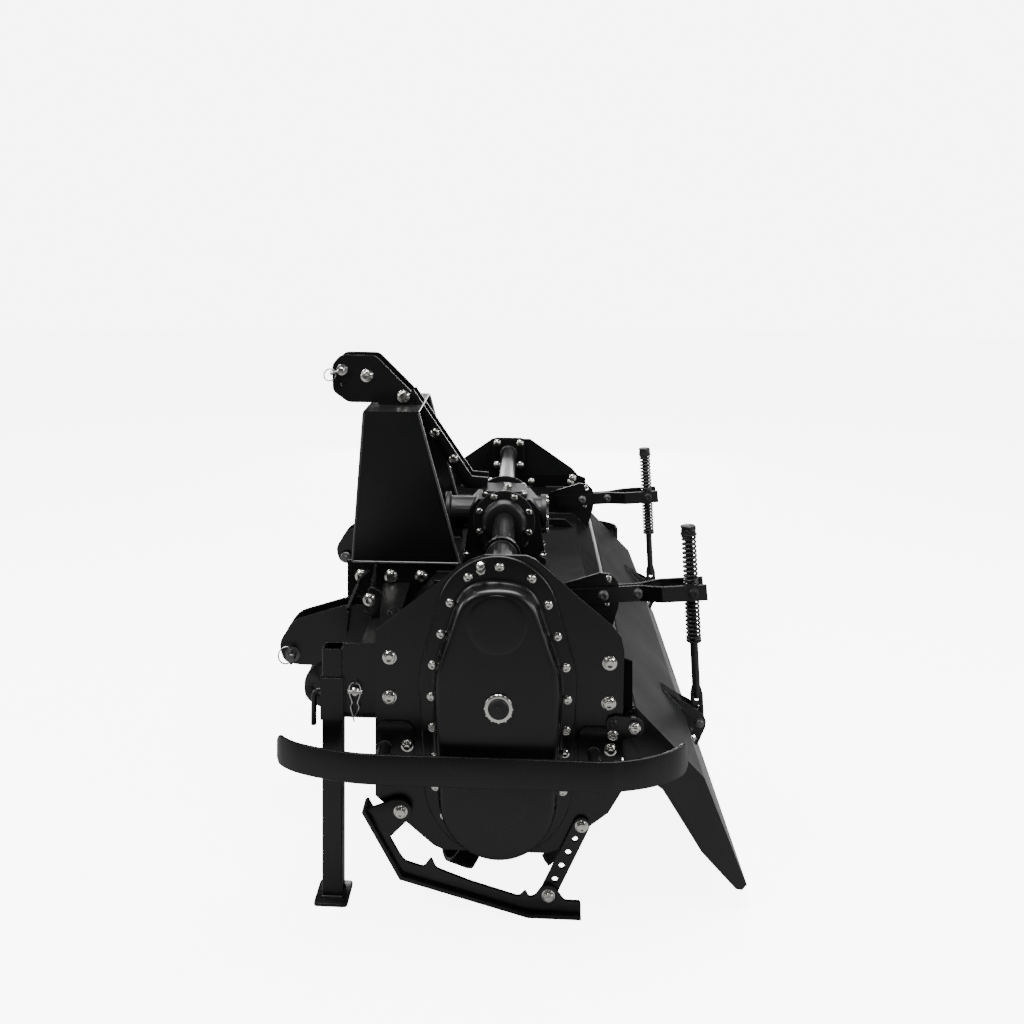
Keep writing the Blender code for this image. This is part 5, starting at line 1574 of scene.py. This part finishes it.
class TILLER_OT_spring_rods(TillerOperator):
    """Make the threaded spring rods with their eyes, seats and nuts, and the four springs"""

    bl_idname = "tiller.spring_rods"
    bl_label = "Make the spring rods"

    def execute(self, context):
        for side in SIDES:
            trunnion = Vector(JOINTS[f"swivel_{side}_pivot"]["pos_m"])
            up = Vector(JOINTS[f"rod_{side}_slide"]["axis"]).normalized()
            self.rod(side, trunnion, up)
            self.springs(side, trunnion, up)
            self.swivel_block(side, trunnion, up)
        return {"FINISHED"}

    def rod(self, side, trunnion, up):
        """The rod with its flattened eye, and its upper seat, lock nuts and lower flange."""
        work, nuts = bmesh.new(), bmesh.new()
        root = ROD_EYE + 0.052
        shaft = ((0, 0.0070), (0.012, 0.0088), (0.026, ROD_RADIUS), (UPPER_SEAT + 0.002 - root, ROD_RADIUS))
        lathe(work, trunnion + up * root, up, shaft, 28)
        lathe(nuts, trunnion + up * UPPER_SEAT, up, SPRING_SEAT, 36)
        base = trunnion + up * (UPPER_SEAT + 0.0034)
        for along, low, high, height, turn in LOCK_NUTS:
            drum(nuts, base + up * along, up, low, high, height, 6, turn)
        flange = trunnion + up * (LOWER_SEAT - 0.0045)
        lathe(work, flange, up, ROD_FLANGE, 36)
        cross = flange - up * 0.0028
        tube(nuts, [cross - ACROSS * 0.016, cross + ACROSS * 0.019], 0.0021, 10)
        blade = [tuple(v) for v in arc_of(0, 0, BLADE_HALF, 180, 360, 15)]
        blade += [*BLADE_SHOULDER, *((-u, v) for u, v in BLADE_SHOULDER[::-1])]
        loops = [blade, *(ring_of(0, height, radius, count) for height, radius, count in BLADE_HOLES)]
        thin = up.cross(ACROSS).normalized()
        foot = trunnion + up * ROD_EYE
        place = Matrix((
            (0, 0, 1, foot.x),
            (-thin.y, up.y, 0, foot.y),
            (-thin.z, up.z, 0, foot.z),
            (0, 0, 0, 1),
        ))
        cut_plate(work, loops, BLADE_THICK, place, 0.0010)
        made = piece(f"rod_{side}_shaft", work, "Black oxide", f"rod_{side}", angle=40)
        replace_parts(made, f"spring_rod_{side}")
        piece(f"rod_{side}_nuts", nuts, "Black oxide", f"rod_{side}")

    def springs(self, side, trunnion, up):
        """The coils above and below the trunnion, which stretch between the swivel and the rod."""
        turns = settings().spring_turns
        samples = turns * 22
        flat = 1.1 / turns
        v = up.cross(ACROSS).normalized()
        for name, length in SPRING_LENGTH.items():
            first = SPRING_CLEAR if name == "upper" else -SPRING_CLEAR - length
            points = []
            for i in range(samples + 1):
                t = i / samples
                rise = min(max((t - flat * 0.5) / (1 - flat), 0), 1)
                angle = 2 * math.pi * turns * t
                height = SPRING_WIRE + (length - 2 * SPRING_WIRE) * (0.06 * t + 0.94 * rise)
                ray = ACROSS * math.cos(angle) + v * math.sin(angle)
                points.append(trunnion + up * (first + height) + ray * SPRING_RADIUS)
            work = bmesh.new()
            tube(work, points, SPRING_WIRE, 10)
            made = piece(f"spring_{name}_{side}_coil", work, "Spring black", None, angle=60)
            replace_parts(made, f"spring_{name}_{side}")
            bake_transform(made)

    def swivel_block(self, side, trunnion, up):
        """The washers on both faces of the trunnion."""
        work = bmesh.new()
        for hand in (-1, 1):
            lathe(work, trunnion + up * (0.0155 * hand), up * hand, SWIVEL_WASHER, 32)
        piece(f"swivel_{side}_washers", work, "Zinc plate", f"swivel_{side}")


# ---------------------------------------------------------------- flap
FLAP_EDGE = (0.5328, 0.0500)
HINGE_TUBE_RADIUS = 0.0202
FLAP_EAR = (
    (0.296, 0.416), (0.268, 0.408), (0.257, 0.380), (0.256, 0.345), (0.276, 0.300), (0.344, 0.256),
    (0.372, 0.236), (0.345, 0.300),
)
DECK_LIP = ((0.2835, 0.4400), (0.2868, 0.4395), (0.2872, 0.4265), (0.2842, 0.4262))
FLAP_BEADS = (((0.3010, 0.4180), (0.4405, 0.2770)), ((0.4400, 0.2720), (0.5280, 0.0580)))
FLAP_EYE = (0.488, 0.247)
EYE_WASHER = ((0, 0.0125), (0.0020, 0.0125), (0.0022, 0.012))
EYE_HEAD = ((0, 0.0098), (0.0045, 0.0096), (0.0058, 0.0080), (0.0062, 0.002))
BRACKET_BEADS = (((0.4020, 0.3235), (0.4450, 0.2800)), ((0.4490, 0.2680), (0.4780, 0.1980)))
BRACKET_BOLTS = (0.4700, 0.2171)
BRACKET_BOLT_SPREAD = 0.040
BRACKET_WEB = (
    (0.3740, 0.3440), (0.4200, 0.2960), (0.4480, 0.2740), (0.4960, 0.2440), (0.5042, 0.2530),
    (0.4990, 0.2665), (0.4669, 0.2885), (0.4141, 0.3140),
)


class TILLER_OT_flap_fittings(TillerOperator):
    """Make the flap's bracket bolts, hem, hinge tube, cheeks and welds, and the deck's lip"""

    bl_idname = "tiller.flap_fittings"
    bl_label = "Make the flap fittings"

    def execute(self, context):
        low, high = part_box("tail_flap")
        hem, pipe, cheeks, lip, weld = (bmesh.new() for _ in range(5))
        tube(hem, [at(x, *FLAP_EDGE) for x in (low.x + 0.001, high.x - 0.001)], 0.0034, 12)
        piece("flap_hem", hem, "Flap coat with painted reflection", "tail_flap")
        ends = [Vector((sign * (high.x - 0.0090), HINGE.y, HINGE.z)) for sign in (-1, 1)]
        tube(pipe, ends, HINGE_TUBE_RADIUS, 28)
        piece("flap_hinge_tube", pipe, "Black powder coat", "tail_flap")
        ear = smooth_corner(FLAP_EAR, 0.014)
        for sign in SIDES.values():
            cut_plate(cheeks, [ear], 0.0026, side_on(sign * (high.x - 0.0046)), 0.0006)
        piece("flap_cheeks", cheeks, "Flap coat with painted reflection", "tail_flap")
        loft(lip, [[at(sign * (INNER - 0.0010), y, z) for y, z in DECK_LIP] for sign in (-1, 1)])
        piece("deck_lip", lip, "Black nylon", "frame")
        for sign in SIDES.values():
            for first, last in FLAP_BEADS:
                bead_at(weld, sign * (high.x - 0.0050), first, last, 0.0026)
        piece("flap_welds", weld, "Weld bead paint", "tail_flap")
        for side in SIDES:
            self.bracket(side)
        return {"FINISHED"}

    def bracket(self, side):
        """One rod bracket: its bolts, its welded webs and the pin through the rod's eye."""
        low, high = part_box(f"flap_bracket_{side}")
        centre = (low.x + high.x) / 2
        bolts, seams, cotter = bmesh.new(), bmesh.new(), bmesh.new()
        for hand in (-1, 1):
            out = ACROSS * hand
            lathe(cotter, at(centre + hand * 0.0222, *FLAP_EYE), out, EYE_WASHER, 28)
            pin = at(centre + hand * 0.0258, *FLAP_EYE)
            if hand > 0:
                lathe(cotter, pin - out * 0.0005, out, EYE_HEAD, 28)
            else:
                tip = pin - out * 0.001
                tube(cotter, [tip + UP * 0.013, tip - UP * 0.012], 0.0016, 10)
                clasp_ring(cotter, tip + UP * 0.0145, ACROSS, 0.0040, 0.0014)
            for first, last in BRACKET_BEADS:
                bead_at(seams, centre + hand * 0.0228, first, last, 0.0028)
            faces = [centre + hand * 0.0205 + dx for dx in (-0.003, 0.003)]
            loft(seams, [[at(x, y, z) for y, z in BRACKET_WEB] for x in faces])
        outward = Vector((0, 0.930, 0.367)).normalized()
        for dx in (-BRACKET_BOLT_SPREAD, BRACKET_BOLT_SPREAD):
            hex_bolt(bolts, at(centre + dx, *BRACKET_BOLTS), outward, 0.0140, spin=dx)
        piece(f"flap_bracket_bolts_{side}", bolts, "Zinc plate", "tail_flap")
        piece(f"flap_bracket_seams_{side}", seams, "Weld bead paint", "tail_flap")
        piece(f"flap_pin_fittings_{side}", cotter, "Dull pin steel", "tail_flap")


# ---------------------------------------------------------------- rotor
# The blade's centre line, as (out from the shaft, round it, sideways).
TINE_LINE = (
    (0.050, 0.000, 0.000), (0.095, -0.003, 0.000), (0.130, -0.003, 0.000), (0.165, 0.003, 0.000),
    (0.198, 0.011, 0.000), (0.214, 0.016, 0.005), (0.2205, 0.020, 0.016), (0.2220, 0.023, 0.034),
    (0.2215, 0.026, 0.0655),
)
TINE_THICK = 0.0038  # half the blade's thickness
TINE_HALF_ROOT, TINE_HALF_GAIN = 0.0195, 0.0185  # half its width at the root, and what the tip adds
TINES = 6
FIRST_TURN, HUB_TURN = 64, 22.5  # degrees: where the first hub stands, and how far each next one turns
HUB_RADIUS, HUB_BORE, HUB_THICK = 0.085, 0.0384, 0.010
HUB_INSET = 0.062
TINE_BOLTS = (0.060, 0.078)


class TILLER_OT_rotor(TillerOperator):
    """Make the rotor's hubs with their bent blades, blade bolts and welds"""

    bl_idname = "tiller.rotor"
    bl_label = "Make the rotor"

    def execute(self, context):
        bolts, weld = bmesh.new(), bmesh.new()
        hubs = [name for name in frame["nodes"] if name.startswith("tine_hub")]
        hubs.sort(key=lambda name: int(name.rsplit("_", 1)[1]))
        first = -FACE + HUB_INSET
        pitch = -2 * first / (len(hubs) - 1)
        for i, name in enumerate(hubs):
            x = first + i * pitch
            turn = math.radians(FIRST_TURN + HUB_TURN * i)
            work = bmesh.new()
            disc = [ring_of(0, 0, HUB_RADIUS, 72), ring_of(0, 0, HUB_BORE, 40)]
            cut_plate(work, disc, HUB_THICK, side_on(x, 0, AXIS_Z), 0.0008)
            for k in range(TINES):
                hand = (1, -1)[k % 2]
                if i in (0, len(hubs) - 1):
                    hand = 1 if i == 0 else -1
                place = Matrix.Translation(at(x, 0, AXIS_Z))
                matrix = place @ Matrix.Rotation(turn + 2 * math.pi * k / TINES, 4, "X")
                self.blade(work, matrix, hand)
                for reach in TINE_BOLTS:
                    head = matrix @ Vector((hand * 0.0125, 0, reach))
                    hex_bolt(bolts, head, ACROSS * hand, 0.0200, spin=k + reach)
                    nut = matrix @ Vector((-hand * HUB_THICK / 2, 0, reach))
                    hex_bolt(bolts, nut, -ACROSS * hand, 0.0190, spin=k, washer=False)
            made = piece(f"tine_set_{i + 1}", work, "Rotor paint", "rotor")
            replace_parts(made, name)
            for hand in (-1, 1):
                ring_bead(weld, at(x + hand * 0.0062, 0, AXIS_Z), ACROSS, HUB_BORE + 0.0011, 0.0034)
        piece("tine_bolts", bolts, "Zinc plate", "rotor")
        piece("rotor_welds", weld, "Rotor paint", "rotor")
        return {"FINISHED"}

    def blade(self, work, matrix, hand):
        """One L-shaped blade: a flat shank bolted to the hub, bent sideways and sharpened."""
        line = smooth_path([(x, t, r) for r, t, x in TINE_LINE], 3)
        seat = HUB_THICK / 2 + TINE_THICK
        count = len(line)
        rings = []
        for i, here in enumerate(line):
            before, after = line[max(i - 1, 0)], line[min(i + 1, count - 1)]
            tangent = after - before
            flat = Vector((tangent.x, 0, tangent.z)).normalized()
            thin = Vector((flat.z, 0, -flat.x))
            t = i / (count - 1)
            width = TINE_HALF_ROOT + TINE_HALF_GAIN * t ** 2
            thick = TINE_THICK
            sharp = thick * (1 - 0.80 * min(1, max(0, (t - 0.35) / 0.3)))
            ring = []
            for across, deep in ((-width, -sharp), (-width * 0.55, -thick), (width, -thick),
                                 (width, thick), (-width * 0.55, thick), (-width, sharp * 0.2)):
                point = here + ALONG * across + thin * deep
                ring.append(matrix @ Vector((hand * (point.x + seat), point.y, point.z)))
            rings.append(ring)
        loft(work, rings)


# ---------------------------------------------------------------- hood welds
DECK_TOP = 0.5005
DECK_BEAD_Z = 0.5020
END_BEADS = ((-0.180, -0.060), (0.000, 0.090), (0.140, 0.215))  # where the deck's end beads run, in y
RIBS_X, RIB_HALF = (0.330, 0.640), 0.003
RIB_OUTLINE = ((-0.185, DECK_TOP), (-0.182, 0.526), (0.190, 0.526), (0.218, DECK_TOP))
RIB_BEADS = ((-0.175, -0.095), (0.060, 0.150))
MAST_FEET_X = (0.1705, 0.1795)
JOINT_BEADS_X = (-0.75, -0.52, -0.28, 0.28, 0.52, 0.75)
DECK_JOINT = (-0.2640, 0.4255)


class TILLER_OT_hood_welds(TillerOperator):
    """Make the weld beads of the deck, the beam and the mast, and the deck's stiffeners"""

    bl_idname = "tiller.hood_welds"
    bl_label = "Make the hood welds"

    def execute(self, context):
        weld, work = bmesh.new(), bmesh.new()
        low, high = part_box("front_beam")
        for sign in SIDES.values():
            for first, last in END_BEADS:
                bead_at(weld, sign * (INNER - 0.0065), (first, DECK_BEAD_Z), (last, DECK_BEAD_Z), 0.0034)
            self.beam_end(weld, sign * (high.x - 0.0005), low, high)
            for x in MAST_FEET_X:
                face = [Vector((sign * x, low.y - 0.0005, z)) for z in (0.410, 0.466)]
                weld_bead(weld, *face, 0.0034)
                bead_at(weld, sign * x, (-0.188, 0.5022), (-0.140, 0.5022), 0.0032)
            for x in RIBS_X:
                sides = (sign * (x - RIB_HALF), sign * (x + RIB_HALF))
                loft(work, [[at(side, y, z) for y, z in RIB_OUTLINE] for side in sides])
                for hand in (-1, 1):
                    for first, last in RIB_BEADS:
                        foot = sign * x + hand * 0.0038
                        bead_at(weld, foot, (first, DECK_BEAD_Z), (last, DECK_BEAD_Z), 0.0030)
        for x in JOINT_BEADS_X:
            weld_bead(weld, at(x - 0.045, *DECK_JOINT), at(x + 0.045, *DECK_JOINT), 0.0034)
        piece("hood_welds", weld, "Weld bead paint", "frame")
        piece("deck_ribs", work, "Black powder coat", "frame", bevel=0.0010)
        return {"FINISHED"}

    def beam_end(self, weld, x, low, high):
        """Beads along the bottom, the top and the front of the beam's end."""
        for z in (low.z, high.z):
            weld_bead(weld, Vector((x, low.y, z)), Vector((x, high.y, z)), 0.0038)
        weld_bead(weld, Vector((x, low.y, low.z)), Vector((x, low.y, high.z)), 0.0038)


# ---------------------------------------------------------------- stage
FLOOR_LIFT = 6.6  # how bright the floor and the surround look to the camera
BACKDROP = 7.0
SURROUND_LIGHT = 0.075
FLOOR_RADIUS = 14
# Each light: its name, place, width, height and power. All of them face the machine's middle.
PANELS = (
    ("key_panel", (2.8, -2.8, 3.4), 1.8, 0.9, 110),
    ("fill_panel", (2.8, 3.2, 2.2), 1.6, 0.9, 60),
    ("top_panel", (0.3, 0.2, 4.2), 3.4, 2.0, 360),
    ("front_panel", (0.2, -4.2, 1.6), 2.6, 1.4, 80),
    ("rear_panel", (0.2, 4.2, 1.6), 2.6, 1.4, 80),
    ("far_panel", (-4.2, 0.0, 0.8), 2.4, 0.9, 60),
    ("back_panel", (-3.2, 0.8, 3.0), 2.4, 1.2, 34),
)
LIGHTS_AIM = (0, 0.05, 0.5)
LENS, LENS_SHIFT = 38.67, (0.0630, -0.2715)
CAMERA_PLACE, CAMERA_YAW = (3.2678, 0.0717, 1.4531), 3.933


class TILLER_OT_stage(TillerOperator):
    """Make the pale floor, the soft studio lights and the camera"""

    bl_idname = "tiller.stage"
    bl_label = "Make the stage"

    def execute(self, context):
        self.floor()
        self.lights()
        self.camera()
        return {"FINISHED"}

    def floor(self):
        """A round floor just under the feet, with the surround behind it."""
        work = bmesh.new()
        bmesh.ops.create_circle(work, cap_ends=True, segments=96, radius=FLOOR_RADIUS)
        mesh = bpy.data.meshes.new("studio_floor")
        work.to_mesh(mesh)
        work.free()
        ground = bpy.data.objects.new("studio_floor", mesh)
        ground.location.z = -0.0005
        bpy.context.scene.collection.objects.link(ground)
        mesh.materials.append(self.floor_finish())
        self.world()

    def floor_finish(self):
        """A pale matt floor that looks bright to the camera and throws less light back on the machine."""
        material, tree, shader = new_material("Studio floor")
        shader.inputs["Base Color"].default_value = (*settings().floor_colour, 1)
        shader.inputs["Roughness"].default_value = 0.9
        shader.inputs["Specular IOR Level"].default_value = 0.0
        shader.inputs["Emission Color"].default_value = (1, 1, 1, 1)
        shader.inputs["Emission Strength"].default_value = FLOOR_LIFT
        dim = node(tree, "ShaderNodeBsdfDiffuse")
        dim.inputs["Color"].default_value = (0.30, 0.30, 0.30, 1)
        seen = node(tree, "ShaderNodeLightPath")
        mix = node(tree, "ShaderNodeMixShader")
        end = tree.nodes["Material Output"]
        tree.links.new(seen.outputs["Is Camera Ray"], mix.inputs["Fac"])
        tree.links.new(dim.outputs["BSDF"], mix.inputs[1])
        tree.links.new(shader.outputs["BSDF"], mix.inputs[2])
        tree.links.new(mix.outputs["Shader"], end.inputs["Surface"])
        return material

    def world(self):
        """A white surround behind the machine, and a dimmer one for its light."""
        world = bpy.data.worlds.new("Studio")
        world.use_nodes = True
        tree = world.node_tree
        dim = tree.nodes["Background"]
        dim.inputs["Color"].default_value = (1, 1, 1, 1)
        dim.inputs["Strength"].default_value = SURROUND_LIGHT
        bright = node(tree, "ShaderNodeBackground")
        bright.inputs["Color"].default_value = (1, 1, 1, 1)
        bright.inputs["Strength"].default_value = BACKDROP
        seen = node(tree, "ShaderNodeLightPath")
        mix = node(tree, "ShaderNodeMixShader")
        tree.links.new(seen.outputs["Is Camera Ray"], mix.inputs["Fac"])
        tree.links.new(dim.outputs["Background"], mix.inputs[1])
        tree.links.new(bright.outputs["Background"], mix.inputs[2])
        tree.links.new(mix.outputs["Shader"], tree.nodes["World Output"].inputs["Surface"])
        bpy.context.scene.world = world

    def lights(self):
        """Soft rectangular lights round and over the machine."""
        for name, place, width, height, power in PANELS:
            data = bpy.data.lights.new(name, "AREA")
            data.shape = "RECTANGLE"
            data.size, data.size_y = width, height
            data.energy = power
            lamp = bpy.data.objects.new(name, data)
            lamp.location = place
            aim = Vector(LIGHTS_AIM) - Vector(place)
            lamp.rotation_euler = aim.to_track_quat("-Z", "Y").to_euler()
            bpy.context.scene.collection.objects.link(lamp)

    def camera(self):
        """A level camera off the drive side, shifted down instead of tilted."""
        data = bpy.data.cameras.new("studio_camera")
        data.lens = LENS
        data.sensor_width = 36.0
        data.shift_x, data.shift_y = LENS_SHIFT
        data.clip_start, data.clip_end = 0.05, 60
        eye = bpy.data.objects.new("studio_camera", data)
        eye.location = CAMERA_PLACE
        yaw = math.radians(CAMERA_YAW)
        aim = Vector((-math.cos(yaw), -math.sin(yaw), 0))
        eye.rotation_euler = aim.to_track_quat("-Z", "Y").to_euler()
        bpy.context.scene.collection.objects.link(eye)
        bpy.context.scene.camera = eye


# ================================================================ panel and registration
OPERATORS = (
    TILLER_OT_coat_frame, TILLER_OT_gear_case, TILLER_OT_side_fasteners, TILLER_OT_bumpers,
    TILLER_OT_skid_fittings, TILLER_OT_gearbox_fittings, TILLER_OT_hitch_fittings, TILLER_OT_stand_fittings,
    TILLER_OT_arm_fittings, TILLER_OT_spring_rods, TILLER_OT_flap_fittings, TILLER_OT_rotor,
    TILLER_OT_hood_welds, TILLER_OT_stage,
)


class TILLER_PT_sidebar(bpy.types.Panel):
    """The tiller's settings and operators."""

    bl_label = "Rotary Tiller"
    bl_idname = "TILLER_PT_sidebar"
    bl_space_type = "VIEW_3D"
    bl_region_type = "UI"
    bl_category = "Tiller"

    def draw(self, context):
        column = self.layout.column()
        for name in TillerSettings.__annotations__:
            column.prop(context.scene.tiller, name)
        for operator in OPERATORS:
            column.operator(operator.bl_idname)


def register():
    """Registers the settings, the operators and the panel."""
    for kind in (TillerSettings, *OPERATORS, TILLER_PT_sidebar):
        bpy.utils.register_class(kind)
    bpy.types.Scene.tiller = PointerProperty(type=TillerSettings)


def unregister():
    """Takes the add-on's classes away again."""
    del bpy.types.Scene.tiller
    for kind in (TILLER_PT_sidebar, *reversed(OPERATORS), TillerSettings):
        bpy.utils.unregister_class(kind)


def main():
    """Builds the finish with every operator in turn."""
    register()
    for operator in OPERATORS:
        group, name = operator.bl_idname.split(".")
        getattr(getattr(bpy.ops, group), name)()


if __name__ == "__main__":
    main()
